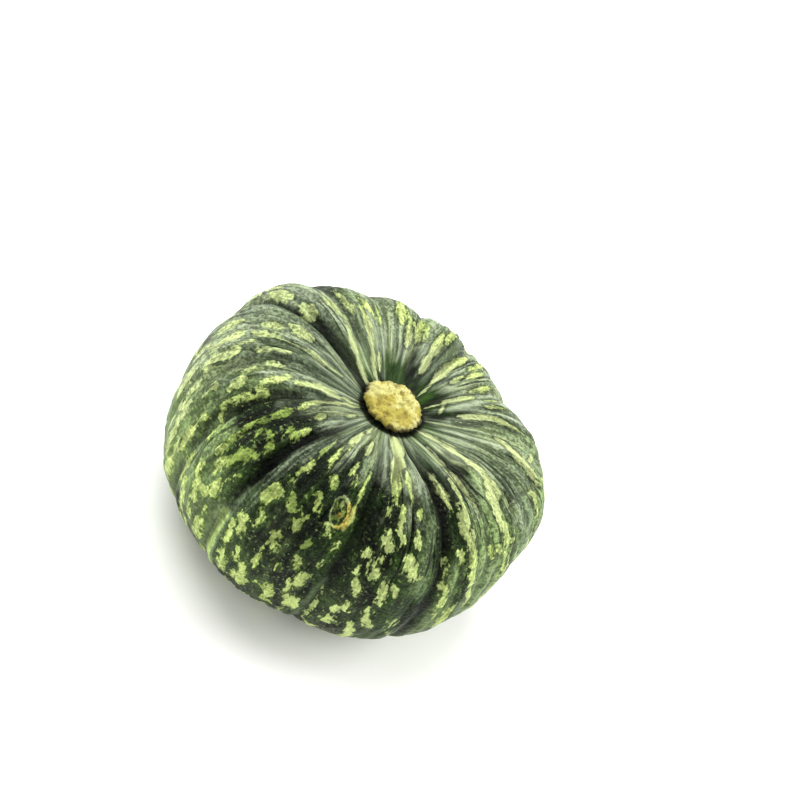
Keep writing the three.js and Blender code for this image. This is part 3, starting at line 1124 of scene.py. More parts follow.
@dataclass(frozen=True)
class GreenFinish:
    """The green layer between the marks: dark and mottled, lighter and darker in stretches, and speckled
    grey.

    The lighter stretches are partly painted sheen, the darker ones and the stripes of shade partly painted
    shade, and the grey specks are painted glints on the pores. The specks are too fine to show at their real
    size, so they are drawn 0.75 mm wide.
    """

    deep: str = "#0b1206"
    green: str = "#2c4516"
    mottle: Grain = Grain(13, 1.6, 3, 0.6)
    green_share: Rise = (0.4, 0.62)
    clouds: Grain = Grain(3.4, 5.0, 3, 0.6, seed=14)
    light: str = "#869d63"
    light_clouds: Rise = (0.32, 0.6, 0.72, 1)
    lower: Rise = (92, 150, 0, 0.12)
    lower_clouds: Rise = (0.4, 0.6)
    dark_clouds: Rise = (0.62, 0.4, 0.35, 1)
    glint_colour: str = "#556349"
    grit: Grain = Grain(0.75, 1.2, detail=1, seed=22)
    glint_share: Rise = (0.58, 0.7, 0, 0.36)
    glints_begin: Rise = (50, 75)
    fleck_colour: str = "#849a5c"
    flecks: FleckFinish = FleckFinish()
    plain_share: float = 0.8
    shade_share: float = 0.92
    band: str = "#74895f"
    bright_band: str = "#a4bb6e"
    bright_share: Rise = (0.82, 1)
    bloom: BloomAndSheenFinish = BloomAndSheenFinish()
    fibre: str = "#77846a"
    threads: Grain = Grain(1.1, 14, seed=23)
    thread_share: Rise = (0.42, 0.6, 0.1, 0.9)

    def colour(self, add: Adder, down: Socket, furrows: Socket) -> Socket:
        """Makes the colour of the skin without its marks, from the lowest layer up.

        Args:
            add: Adds a node to the material.
            down: The distance down the skin.
            furrows: How much of each place is furrow.

        Returns:
            The colour.
        """
        names = ("light", "dark", "plain", "shade", "band", "fibre")
        light, dark, plain, shade, band, fibre = (add(Step.VALUE, attribute_name=name) for name in names)
        clouds = self.clouds.lay(add)
        lower = add(Step.RISE, clouds, *self.lower_clouds)
        lower = add(Step.TIMES, add(Step.RISE, down, *self.lower), lower)
        grit = add(Step.RISE, self.grit.lay(add), *self.glint_share)
        grit = add(Step.TIMES, grit, add(Step.RISE, down, *self.glints_begin))
        flecked = add(Step.TIMES_PLUS, plain, -self.plain_share, 1.0, use_clamp=True)
        flecks = add(Step.TIMES, self.flecks.share(add, down), flecked)
        mottled = add(Step.RISE, self.mottle.lay(add), *self.green_share)
        colour = add(Step.COVER, mottled, self.deep, self.green)
        for share, paint in (
            # lighter stretches: lighter skin, and partly painted sheen on the flanks
            (add(Step.TIMES, light, add(Step.RISE, clouds, *self.light_clouds)), self.light),
            (lower, self.light),
            # darker stretches: darker skin, and partly painted shade
            (add(Step.TIMES, dark, add(Step.RISE, clouds, *self.dark_clouds)), self.deep),
            # painted glints: grey specks that stand for glints on the pores
            (grit, self.glint_colour),
            (flecks, self.fleck_colour),
            # painted shade, mostly down in the creases
            (add(Step.TIMES, shade, self.shade_share), SHADE),
            (band, self.band),
            (add(Step.RISE, band, *self.bright_share), self.bright_band),
        ):
            colour = add(Step.COVER, share, colour, paint)
        # dry bloom and painted sheen over the upper skin
        colour = self.bloom.lay(add, colour, clouds)
        threads = add(Step.RISE, self.threads.lay(add), *self.thread_share)
        colour = add(Step.COVER, add(Step.TIMES, fibre, threads), colour, self.fibre)
        return add(Step.COVER, furrows, colour, SHADE)


@dataclass(frozen=True)
class MarkFinish:
    """The pale marks: thin spots of the green layer, with ragged edges.

    A width is how far a noise moves the edge, in millimetres. Weak marks break up into specks. The finest
    specks, hairs and spots are too fine to show at their real size, so they are drawn 0.65 to 1 mm wide.
    """

    pale: str = "#afb985"
    bright: str = "#cddd93"
    dull: str = "#a8b480"
    loose: Rise = (40, 95, 0.35, 1.0)
    crisp: Rise = (0.95, 1.2, 1.0, 0.3)
    ragged: Grain = Grain(3.2, 1.5, 3, 0.7, seed=1)
    ragged_width: float = 6.0
    comb: Grain = Grain(0.8, 4.2, seed=4)
    comb_width: float = 7.0
    weak_edge: Rise = (0.3, 0.85, -1.2, -0.1)
    specks: Grain = Grain(1.0, 1.3, detail=3, seed=8)
    speck_width: Rise = (0.3, 0.85, 12.0, 5.0)
    edge: Rise = (-0.4, 0.55)
    hairs: Grain = Grain(0.7, 5.0, seed=18)
    hair_width: float = 4.5
    core_specks: float = 1.2
    core_edge: Rise = (-0.5, 1.7)
    spots: Grain = Grain(0.65, 1.4, seed=21)
    spot_share: Rise = (0.5, 0.62, 0, 0.6)
    spots_begin: Rise = (45, 80, 0.25, 1)
    pale_above: Rise = (66, 36, 0, 0.85)
    pale_right: Rise = (48, 64, 0, 0.7)
    pale_right_above: Rise = (95, 70)
    bright_from: Rise = (2, 26, 0, 0.4)
    bright_to: Rise = (62, 46)
    bright_below: Rise = (60, 85)
    dull_left: Rise = (-48, -62, 0, 0.7)
    dim_share: float = 0.85

    def shares(self, add: Adder, down: Socket) -> tuple[Socket, Socket]:
        """How much of each place is a mark, and how much of that is its bright middle.

        Args:
            add: Adds a node to the material.
            down: The distance down the skin.

        Returns:
            The share of mark and the share of middle.
        """
        tone = add(Step.VALUE, attribute_name="tone")
        loose = add(Step.TIMES, add(Step.RISE, down, *self.loose), add(Step.RISE, tone, *self.crisp))
        comb = add(Step.TIMES, self.comb.swing(add), self.comb_width)
        wander = add(Step.TIMES_PLUS, self.ragged.swing(add), self.ragged_width, comb)
        depth = add(Step.VALUE, attribute_name="mark")
        edge = add(Step.PLUS, depth, add(Step.RISE, tone, *self.weak_edge))
        inside = add(Step.TIMES_PLUS, wander, loose, edge)
        broken = add(Step.TIMES, add(Step.RISE, tone, *self.speck_width), loose)
        specks = add(Step.TIMES, self.specks.swing(add), broken)
        core = add(Step.TIMES_PLUS, specks, self.core_specks, inside)
        core = add(Step.TIMES_PLUS, self.hairs.swing(add), self.hair_width, core)
        mark = add(Step.RISE, add(Step.PLUS, specks, inside), *self.edge)
        return mark, add(Step.RISE, core, *self.core_edge)

    def colour(self, add: Adder, east: Socket, down: Socket, core: Socket) -> Socket:
        """Makes the marks' own colour.

        Args:
            add: Adds a node to the material.
            east: The way to the right.
            down: The distance down the skin.
            core: How much of each mark is its bright middle.

        Returns:
            The colour.
        """
        spots = add(Step.RISE, self.spots.lay(add), *self.spot_share)
        right = add(Step.RISE, east, *self.pale_right)
        lit = add(Step.TIMES, add(Step.RISE, east, *self.bright_from), add(Step.RISE, east, *self.bright_to))
        dim = add(Step.VALUE, attribute_name="dim")
        colour = add(Step.COVER, core, MARK_DIM, MARK)
        for share, paint in (
            (add(Step.TIMES, spots, add(Step.RISE, down, *self.spots_begin)), MARK_DIM),
            (add(Step.RISE, down, *self.pale_above), self.pale),
            (add(Step.TIMES, right, add(Step.RISE, down, *self.pale_right_above)), self.pale),
            # painted light: marks right of the middle, lower down, are painted brighter
            (add(Step.TIMES, lit, add(Step.RISE, down, *self.bright_below)), self.bright),
            (add(Step.RISE, east, *self.dull_left), self.dull),
            # dimmer marks, partly painted shade
            (add(Step.TIMES, dim, self.dim_share), MARK_DIM),
        ):
            colour = add(Step.COVER, share, colour, paint)
        return colour


@dataclass(frozen=True)
class ScarFinish:
    """Healed skin: a pale rim, golden on one side, round a mottled green middle with a dot in it.

    Its patterns lie in the scar's own space, where the rim is about 1 from the middle.
    """

    rim: str = "#a8bb7a"
    gold: str = "#b8ac52"
    middle: str = "#263418"
    dot: str = "#8f7c3a"
    wobble_scale: float = 1.6
    wobble_share: float = 0.45
    mottle: Grain = Grain(1.5, 1.2, seed=12)
    mottled: Rise = (0.5, 0.62)
    dot_place: Triple = (0.0, 0.2, 0.0)
    dot_edge: Rise = (0.26, 0.12)
    crown_place: Triple = (0.0, -0.5, 0.0)
    crown_edge: Rise = (0.3, 0.12)
    gold_slant: float = 0.6
    golden: Rise = (-0.2, 0.5)
    rim_thickness: Rise = (-0.3, 0.8, 0.17, 0.36)
    rim_edge: Rise = (-0.05, 0.07)
    beside_reach: Rise = (1.7, 1.0)
    beside_side: Rise = (0.3, 0.8, 0, 0.6)
    beside_marks: Rise = (-0.3, 0.3)
    edge: Rise = (1.06, 0.96)

    def lay(self, add: Adder, skin: Socket) -> Socket:
        """Lays the scar over the skin.

        Args:
            add: Adds a node to the material.
            skin: The skin's colour.

        Returns:
            The colour with the scar.
        """
        place = add(Step.PLACE, attribute_name="scar")
        wobble = add(Step.NOISE_VECTOR, place, self.wobble_scale)
        wobble = add(Step.VECTOR_LESS, wobble, (NOISE_MIDDLE, NOISE_MIDDLE, NOISE_MIDDLE))
        wobble = add(Step.VECTOR_TIMES, wobble, self.wobble_share)
        across, down, _ = add(Step.SPLIT, add(Step.VECTOR_PLUS, place, wobble)).node.outputs
        flat = add(Step.JOIN, across, down)
        reach = add(Step.LENGTH, flat)
        mottle = add(Step.RISE, self.mottle.lay(add), *self.mottled)
        dot = add(Step.RISE, add(Step.APART, flat, self.dot_place), *self.dot_edge)
        crown = add(Step.RISE, add(Step.APART, flat, self.crown_place), *self.crown_edge)
        middle = add(Step.COVER, mottle, self.middle, MARK_DIM)
        middle = add(Step.COVER, dot, middle, self.dot)
        middle = add(Step.COVER, crown, middle, MARK)
        golden = add(Step.RISE, add(Step.TIMES_PLUS, down, self.gold_slant, across), *self.golden)
        rim = add(Step.COVER, golden, self.rim, self.gold)
        inner = add(Step.LESS, 1.0, add(Step.RISE, across, *self.rim_thickness))
        on_rim = add(Step.RISE, add(Step.LESS, reach, inner), *self.rim_edge)
        colour = add(Step.COVER, on_rim, middle, rim)
        side = add(Step.RISE, across, *self.beside_side)
        beside = add(Step.TIMES, add(Step.RISE, reach, *self.beside_reach), side)
        marks = add(Step.RISE, add(Step.VALUE, attribute_name="mark"), *self.beside_marks)
        skin = add(Step.COVER, add(Step.TIMES, beside, marks), skin, self.gold)
        return add(Step.COVER, add(Step.RISE, reach, *self.edge), skin, colour)


@dataclass(frozen=True)
class ButtonFinish:
    """The blossom scar's cork: dry and light brown, with a dark rim and cracks towards its tip."""

    cork: str = "#a08d5c"
    rim: str = "#4d3d20"
    uneven: Grain = Grain(1.4, detail=3, seed=19, texel=Texel.SOLID)
    uneven_width: float = 4.0
    cracks: Grain = Grain(1.8, 6.0, seed=20)
    cracked: Rise = (0.5, 0.6)
    rim_edge: Rise = (1.4, 0.4)
    edge: Rise = (-0.6, 0.2)

    def lay(self, add: Adder, skin: Socket) -> Socket:
        """Lays the cork over the skin.

        Args:
            add: Adds a node to the material.
            skin: The skin's colour.

        Returns:
            The colour with the cork.
        """
        inside = add(Step.VALUE, attribute_name="button")
        inside = add(Step.TIMES_PLUS, self.uneven.swing(add), self.uneven_width, inside)
        cork = add(Step.COVER, add(Step.RISE, self.cracks.lay(add), *self.cracked), self.cork, self.rim)
        cork = add(Step.COVER, add(Step.RISE, inside, *self.rim_edge), cork, self.rim)
        return add(Step.COVER, add(Step.RISE, inside, *self.edge), skin, cork)


@dataclass(frozen=True)
class RindFinish(Finish):
    """Skin of a ripe kabocha: hard and waxy, so its gloss is soft and broad over a dark mottled green.

    The marks lie over the green, each with a lighter halo and, near the stem, a dark outline. Folds, pores
    and the ring under the stem get painted shade, and the tops of pores painted light, except where a mark
    covers them.
    """

    name: str = "waxy green squash rind"
    green: GreenFinish = GreenFinish()
    furrows: FurrowFinish = FurrowFinish()
    pores: PoreFinish = PoreFinish()
    marks: MarkFinish = MarkFinish()
    scar: ScarFinish = ScarFinish()
    button: ButtonFinish = ButtonFinish()
    halo: str = "#435a28"
    halo_edge: Rise = (-2.4, 0.4)
    halo_strength: Rise = (60, 100, 0.1, 0.45)
    outline_edge: Rise = (-1.9, -0.4)
    outline_strength: Rise = (60, 110, 0.55, 0)
    outline_left: Rise = (-20, -50, 1, 0.55)
    weak: Rise = (0, 0.6, 0.6, 1)
    pore_shade: Rise = (0.36, 0.65, 0.44, 1.32)
    cavity_shade: Rise = (0, 1, 1.0, 0.3)
    stem_shade: Rise = (15.3, 17.4, 0.12, 1.0)
    even: Rise = (45, 80, -0.1, -0.38)
    even_left: Rise = (-10, -45, 1, 0.3)
    gloss: Grain = Grain(1.6, 1.5, seed=5)
    roughness: Rise = (0.3, 0.7, 0.32, 0.56)
    mark_height: float = 0.03
    bump_height: float = 1.9
    ior: float = 1.45
    specular: float = 0.1

    def surface(self, add: Adder) -> tuple[object, ...]:
        """Makes the colour, the roughness and the fine relief.

        Args:
            add: Adds a node to the material.

        Returns:
            Colour, roughness, normal, IOR and specular level.
        """
        east, _, down = add(Step.SPLIT, add(Step.PLACE, attribute_name="ring")).node.outputs
        furrows = self.furrows.share(add, down)
        pores = self.pores.height(add, down, furrows)
        mark, core = self.marks.shares(add, down)
        near = add(Step.VALUE, attribute_name="mark")
        halo = add(Step.RISE, near, *self.halo_edge)
        halo = add(Step.TIMES, halo, add(Step.RISE, down, *self.halo_strength))
        outline = add(Step.RISE, near, *self.outline_edge)
        outline = add(Step.TIMES, outline, add(Step.RISE, down, *self.outline_strength))
        outline = add(Step.TIMES, outline, add(Step.RISE, east, *self.outline_left))
        tone = add(Step.VALUE, attribute_name="tone")
        shown = add(Step.TIMES, mark, add(Step.RISE, tone, *self.weak))
        colour = self.green.colour(add, down, furrows)
        colour = add(Step.COVER, halo, colour, self.halo)
        colour = add(Step.COVER, outline, colour, SHADE)
        colour = add(Step.COVER, shown, colour, self.marks.colour(add, east, down, core))
        colour = self.button.lay(add, self.scar.lay(add, colour))
        # painted shade in the pores, down in the folds and in the ring under the stem, and painted light on
        # the tops of pores
        share, depth = self.painted_shade_share(add, east, down, shown), self.depth(add, down, pores)
        colour = add(Step.DARKEN, share, colour, depth)
        rough = add(Step.RISE, self.gloss.lay(add), *self.roughness)
        height = add(Step.TIMES_PLUS, mark, self.mark_height, pores)
        return colour, rough, add(Step.BUMP, height, self.bump_height * MM), self.ior, self.specular

    def depth(self, add: Adder, down: Socket, pores: Socket) -> Socket:
        """Painted shade: how dark the skin is painted in pores, down in the folds and in the ring under the
        stem.

        Args:
            add: Adds a node to the material.
            down: The distance down the skin.
            pores: The height of the fine relief.

        Returns:
            A factor for the colour.
        """
        folds = add(Step.RISE, add(Step.VALUE, attribute_name="cavity"), *self.cavity_shade)
        folds = add(Step.TIMES, folds, add(Step.RISE, down, *self.stem_shade))
        return add(Step.TIMES, add(Step.RISE, pores, *self.pore_shade), folds)

    def painted_shade_share(self, add: Adder, east: Socket, down: Socket, shown: Socket) -> Socket:
        """How much of that painted shade each place gets: less on the marks, the more so further down.

        Args:
            add: Adds a node to the material.
            east: The way to the right.
            down: The distance down the skin.
            shown: How much of each place is covered by a mark.

        Returns:
            The share.
        """
        even = add(Step.TIMES, shown, add(Step.RISE, down, *self.even))
        even = add(Step.TIMES, even, add(Step.RISE, east, *self.even_left))
        return add(Step.PLUS, even, 1.0)


# ---------------------------------------------------------------- the rind


@dataclass(frozen=True)
class Unevenness:
    """The skin's real relief between the marks, in millimetres: long folds, lumps and fine ripples.

    Attributes:
        folds: The size of a fold, east, north and down the skin, as the next two are.
        lumps: The size of a lump.
        ripples: The size of a ripple.
        fold_height: How far folds rise.
        crease_depth: How deep the sharp creases between folds are.
        crease_edge: The fold noise between which a crease runs out.
        begins: The distance down the skin at which the relief begins.
        ends: The distance at which it ends.
        calm_below: The distance at which it gets calmer.
        calm_behind: How far north of the stem it gets calmer, as a sine of the bearing.
        calm: How much calmer it gets.
        least_lumps: How much of the lumps is left where all is calm.
        ripple_height: How far ripples rise between the stripes of fibres.
        sink: How far the skin lies below the plain form on average.
        highest: How far above it the skin rises at most.
    """

    folds: Triple = (7, 7, 70)
    lumps: Triple = (14, 14, 20)
    ripples: Triple = (2.4, 2.4, 26)
    fold_height: float = 1.2
    crease_depth: float = 1.6
    crease_edge: Pair = (0.0, 0.2)
    begins: Pair = (14, 40)
    ends: Pair = (190, 235)
    calm_below: Pair = (80, 140)
    calm_behind: Pair = (0.2, 0.8)
    calm: float = 0.6
    least_lumps: float = 0.5
    ripple_height: float = 0.4
    sink: float = 0.3
    highest: float = 0.5

    def relief(self, skin: Skin, ring: np.ndarray, fibre: np.ndarray) -> np.ndarray:
        """Works out the relief.

        Args:
            skin: Where the vertices lie.
            ring: Their places round the squash and down its lobes.
            fibre: How strongly the stripes of fibres show at each.

        Returns:
            Millimetres outwards for each vertex.
        """
        shown = smoothstep(skin.distance, *self.begins) * (1 - smoothstep(skin.distance, *self.ends))
        folds = noise_at(ring / self.folds, octaves=2)
        sharp = 1 - smoothstep(np.abs(folds), *self.crease_edge)
        rough = 1 - self.calm * smoothstep(skin.distance, *self.calm_below)
        rough = rough * (1 - self.calm * smoothstep(np.sin(np.radians(skin.bearing)), *self.calm_behind))
        folds = (folds * self.fold_height - sharp * self.crease_depth) * rough
        lumps = noise_at(ring / self.lumps, octaves=2) * (self.least_lumps + rough)
        ripples = noise_at(ring / self.ripples) * (self.ripple_height * rough + fibre)
        return limited((folds + lumps + ripples) * shown - self.sink, self.highest)


@dataclass
class Rind:
    """The body of the squash, in millimetres until it is finished.

    Attributes:
        form: Its large form.
        finish: Its skin.
        unevenness: The skin's relief between the marks.
        scar: The healed ring.
        button: The blossom scar.
        hidden: The marks where nobody has looked.
        slices: The slices of the ball that it starts from.
        rings: The ball's rings.
        cuts: How many times each of the ball's edges is cut.
        samples: How many places along the outline its length is measured with.
        slope_step: The share of the outline over which its slope is measured.
        ring_radius: The radius at which patterns on ring coordinates have their true size.
        groove_depth: How deep the grooves at the bottom of creases are.
        shade_depth: How deep the stripes of dark skin and painted shade lie.
        band_height: How far clean stripes stand proud.
        mark_height: How far marks do.
        mark_edge: The depths inside a mark between which it rises.
        scar_reach: How far from the scar its own space is kept, in half widths.
        hollow_depths: The depths between which the skin gets painted shade, and by how much in all.
        hollow_share: How dark the painted shade in the deepest skin is.
        groove_share: How dark the painted shade in a full groove is.
        stir: How far the outlines of strokes wander.
        stir_sizes: The widths of the lumps with which they wander.
        steady: The distances down the skin between which they get to wander, and their share above it.
        light_fade: Over what distance lighter stretches break up and fade out, and how far that wanders.
        light_lumps: The size of the lumps with which it wanders, east, north and down the skin.
        bloom_lumps: The same for the bloom and painted sheen.
        bloom_on_shade: The share of bloom and sheen that lies on stripes of dark skin and shade.
        bloom_on_dark: The share that lies on darker stretches.
        bloom_start_edge: How far their start wanders, and how far before and after it they grow.
        bloom_end_edge: How far their end wanders, and how far before and after it they fade.
        bloom_start: Where the bloom and painted sheen start.
        bloom_end: Where they end.
        light_end: Where lighter stretches end.
        waist: Where the middle of the waist comes to lie, in metres.
    """

    form: SquashForm = SquashForm()
    finish: RindFinish = RindFinish()
    unevenness: Unevenness = Unevenness()
    scar: Scar = Scar()
    button: BlossomScar = BlossomScar()
    hidden: Hidden = Hidden()
    slices: int = 124
    rings: int = 48
    cuts: int = 3
    samples: int = 4001
    slope_step: float = 1e-4
    ring_radius: float = 70.0
    groove_depth: float = 1.4
    shade_depth: float = 1.1
    band_height: float = 0.5
    mark_height: float = 0.15
    mark_edge: Pair = (-1, 1)
    scar_reach: float = 3
    hollow_depths: Pair = (0.8, 3.0)
    hollow_share: float = 0.8
    groove_share: float = 0.9
    stir: float = 1.3
    stir_sizes: Pair = (4.0, 9.0)
    steady: Triple = (45, 90, 0.25)
    light_fade: float = 45.0
    light_lumps: Triple = (7, 7, 18)
    bloom_lumps: Triple = (9, 9, 14)
    bloom_on_shade: float = 0.15
    bloom_on_dark: float = 0.5
    bloom_start_edge: Triple = (12, 8, 8)
    bloom_end_edge: Triple = (24, 16, 14)
    bloom_start: Bearings = (
        (-180, 12), (-60, 10), (-30, 16), (10, 20), (40, 26), (60, 32), (110, 32), (150, 28), (165, 24),
        (180, 12),
    )  # fmt: skip
    bloom_end: Bearings = (
        (-180, 120), (-160, 118), (-148, 96), (-138, 66), (-130, 58), (-112, 58), (-100, 57), (-80, 54),
        (-68, 60), (-50, 65), (-43, 44), (-35, 50), (-25, 66), (-15, 42), (-6, 76), (0, 90), (8, 86),
        (14, 74), (25, 80), (60, 80), (120, 80), (150, 76), (180, 118),
    )  # fmt: skip
    light_end: Bearings = (
        (-180, 118), (-165, 145), (-140, 150), (-40, 165), (-10, 150), (6, 112), (20, 88), (30, 74),
        (140, 78), (165, 90), (180, 118),
    )  # fmt: skip
    waist: Vector = field(init=False)

    def build(self) -> bpy.types.Object:
        """Makes the body's mesh and dresses it.

        Returns:
            The finished piece.
        """
        piece = self.start()
        unit = mesh_points(piece)
        unit /= np.linalg.norm(unit, axis=1)[:, None]
        bearing = np.degrees(np.arctan2(unit[:, 1], unit[:, 0])) % 360
        along = np.arccos(np.clip(unit[:, 2], -1, 1)) / math.pi
        places = np.linspace(0, 1, self.samples)
        radius, height = self.form.profile(places)
        reach = np.concatenate([[0], np.cumsum(np.hypot(np.diff(radius), np.diff(height)))])
        distance = along * reach[-1]
        LOG.info("the skin is %.1f mm from end to end", reach[-1])
        v = np.interp(distance, reach, places)
        radius, height = self.form.profile(v)
        before, after = (self.form.profile(v + step) for step in (-self.slope_step, self.slope_step))
        slope = np.hypot(after[0] - before[0], after[1] - before[1])
        out, up = -(after[1] - before[1]) / slope, (after[0] - before[0]) / slope
        skin = Skin(bearing, distance, radius * swell(self.form.waves, bearing))
        turned = np.stack([np.cos(np.radians(bearing)), np.sin(np.radians(bearing))], axis=1)
        ring = np.column_stack([turned * self.ring_radius, distance])
        dip = self.form.dip(bearing, v)
        groove = self.form.groove(bearing, v, skin.radius)
        button = self.button.depth(reach[-1] - distance, bearing)
        lift = self.relief(piece, skin, ring, groove) - dip + self.button.relief(button)
        wide = skin.radius + lift * out
        tall = height + lift * up + self.form.lean(bearing, radius, height)
        tall = np.maximum(tall, self.form.sole_thickness - self.form.half_height)
        store(piece, ring=ring, button=np.maximum(button, -self.button.radius))
        self.waist = fit(piece, np.column_stack([wide[:, None] * turned, tall]), "squash_body")
        bpy.ops.object.shade_smooth()
        piece.data.materials.append(self.finish.make())
        return piece

    def start(self) -> bpy.types.Object:
        """Adds a fine round ball to be shaped.

        Returns:
            The ball.
        """
        deselect()
        bpy.ops.mesh.primitive_uv_sphere_add(segments=self.slices, ring_count=self.rings, radius=1)
        piece = bpy.context.object
        piece.name = "squash_rind"
        subdivide(self.cuts)
        return piece

    def relief(
        self, piece: bpy.types.Object, skin: Skin, ring: np.ndarray, groove: np.ndarray
    ) -> np.ndarray:
        """How far the skin stands proud of the plain form, and what its colours need to know.

        Args:
            piece: The mesh, which keeps the values that its material reads.
            skin: Where the vertices lie.
            ring: Their places round the squash and down its lobes.
            groove: How strongly the groove in a crease shows at each.

        Returns:
            Millimetres outwards for each vertex.
        """
        mark, tone = self.stirred(skin, ring).inside(MARKS + self.hidden.grow())
        kept = {name: skin.soft(drawn, blur) for name, (drawn, blur) in STRETCHES.items()}
        shade, band, fibre, dark = (kept[name] for name in ("shade", "band", "fibre", "dark"))
        kept["light"] *= self.light(skin, ring)
        # bloom and painted sheen, thinner on stripes of shade and on darker stretches
        bloom = self.bloom(skin, ring) * (1 - (1 - self.bloom_on_shade) * shade)
        bloom = bloom * (1 - (1 - self.bloom_on_dark) * dark)
        rough = self.unevenness.relief(skin, ring, fibre)
        # painted shade in the hollows of the relief and in the grooves, which the material darkens the skin
        # with
        cavity = smoothstep(-rough, *self.hollow_depths) * self.hollow_share + groove * self.groove_share
        place = self.scar.place(skin)
        scar = np.clip(place, -self.scar_reach, self.scar_reach)
        store(piece, **kept, mark=mark, tone=tone, bloom=bloom, scar=scar)
        store(piece, plain=np.clip(shade + band, 0, 1), cavity=np.clip(cavity, 0, 1))
        raised = band * self.band_height + smoothstep(mark, *self.mark_edge) * self.mark_height
        raised = raised + self.scar.relief(place)
        return rough + raised - shade * self.shade_depth - groove * self.groove_depth

    def stirred(self, skin: Skin, ring: np.ndarray) -> Skin:
        """Moves the vertices a little, so that strokes laid on them get an uneven outline.

        Args:
            skin: Where the vertices lie.
            ring: Their places round the squash and down its lobes.

        Returns:
            Where they lie for the strokes.
        """
        fine, coarse = self.stir_sizes
        # what is added to a place keeps the noises from being alike
        across = (noise_at(ring / fine) + noise_at(ring / coarse + 30)) * self.stir
        down = (noise_at(ring / fine + 60) + noise_at(ring / coarse + 90)) * self.stir
        start, end, least = self.steady
        steady = smoothstep(skin.distance, start, end) * (1 - least) + least
        degrees = across * steady / skin.per_degree()
        return Skin(skin.bearing + degrees, skin.distance + down * steady, skin.radius)

    def light(self, skin: Skin, ring: np.ndarray) -> np.ndarray:
        """How much lighter skin and painted sheen is left: further down it breaks up and fades out.

        Args:
            skin: Where the vertices lie.
            ring: Their places round the squash and down its lobes.

        Returns:
            A share from 0 to 1 for each vertex.
        """
        end = np.interp(skin.turned(), *zip(*self.light_end))
        wander = noise_at(ring / self.light_lumps, octaves=3)
        return 1 - smoothstep(skin.distance + wander * self.light_fade, end, end + self.light_fade)

    def bloom(self, skin: Skin, ring: np.ndarray) -> np.ndarray:
        """How thick the dry bloom and painted sheen lie.

        Args:
            skin: Where the vertices lie.
            ring: Their places round the squash and down its lobes.

        Returns:
            A share from 0 to 1 for each vertex.
        """
        start = np.interp(skin.turned(), *zip(*self.bloom_start))
        end = np.interp(skin.turned(), *zip(*self.bloom_end))
        wander = noise_at(ring / self.bloom_lumps, octaves=2)
        wandering, before, after = self.bloom_start_edge
        begun = smoothstep(skin.distance + wander * wandering, start - before, start + after)
        wandering, before, after = self.bloom_end_edge
        return begun * (1 - smoothstep(skin.distance + wander * wandering, end - before, end + after))


# ---------------------------------------------------------------- the stem


@dataclass(frozen=True)
class CorkFinish(Finish):
    """Dried fruit stalk: dull granular cork, straw yellow on its cut face, with ochre pits and a brown side.

    Its grit is too fine to show at its real size, so it is drawn 0.9 to 1 mm wide.
    """

    name: str = "dried corky squash stem"
    straw: str = "#a0953f"
    cream: str = "#bdb974"
    patches: Grain = Grain(6.0, detail=3, seed=1, texel=Texel.SOLID)
    creamy: Rise = (0.47, 0.6)
    ochre: str = "#75662a"
    specks: Grain = Grain(1.0, detail=3, roughness=0.65, seed=3, texel=Texel.SOLID)
    speckled: Rise = (0.5, 0.66, 0, 0.65)
    pit_share: float = 0.55
    brown: str = "#3a2a12"
    uneven: Grain = Grain(2.2, detail=3, seed=5, texel=Texel.SOLID)
    uneven_share: float = 1.6
    side: Rise = (0.35, 0.8, 0, 0.9)
    grit: Grain = Grain(0.9, detail=3, roughness=0.65, texel=Texel.SOLID)
    grit_height: float = 0.6
    roughness: float = 0.85
    ior: float = 1.45

    def surface(self, add: Adder) -> tuple[object, ...]:
        """Makes the colour and the gritty relief.

        Args:
            add: Adds a node to the material.

        Returns:
            Colour, roughness, normal and IOR.
        """
        pit, side = (add(Step.VALUE, attribute_name=name) for name in ("pit", "side"))
        side = add(Step.TIMES_PLUS, self.uneven.swing(add), self.uneven_share, side)
        colour = add(Step.COVER, add(Step.RISE, self.patches.lay(add), *self.creamy), self.straw, self.cream)
        for share, paint in (
            (add(Step.RISE, self.specks.lay(add), *self.speckled), self.ochre),
            (add(Step.TIMES, pit, self.pit_share), self.ochre),
            (add(Step.RISE, side, *self.side), self.brown),
        ):
            colour = add(Step.COVER, share, colour, paint)
        bump = add(Step.BUMP, self.grit.lay(add), self.grit_height * MM)
        return colour, self.roughness, bump, self.ior


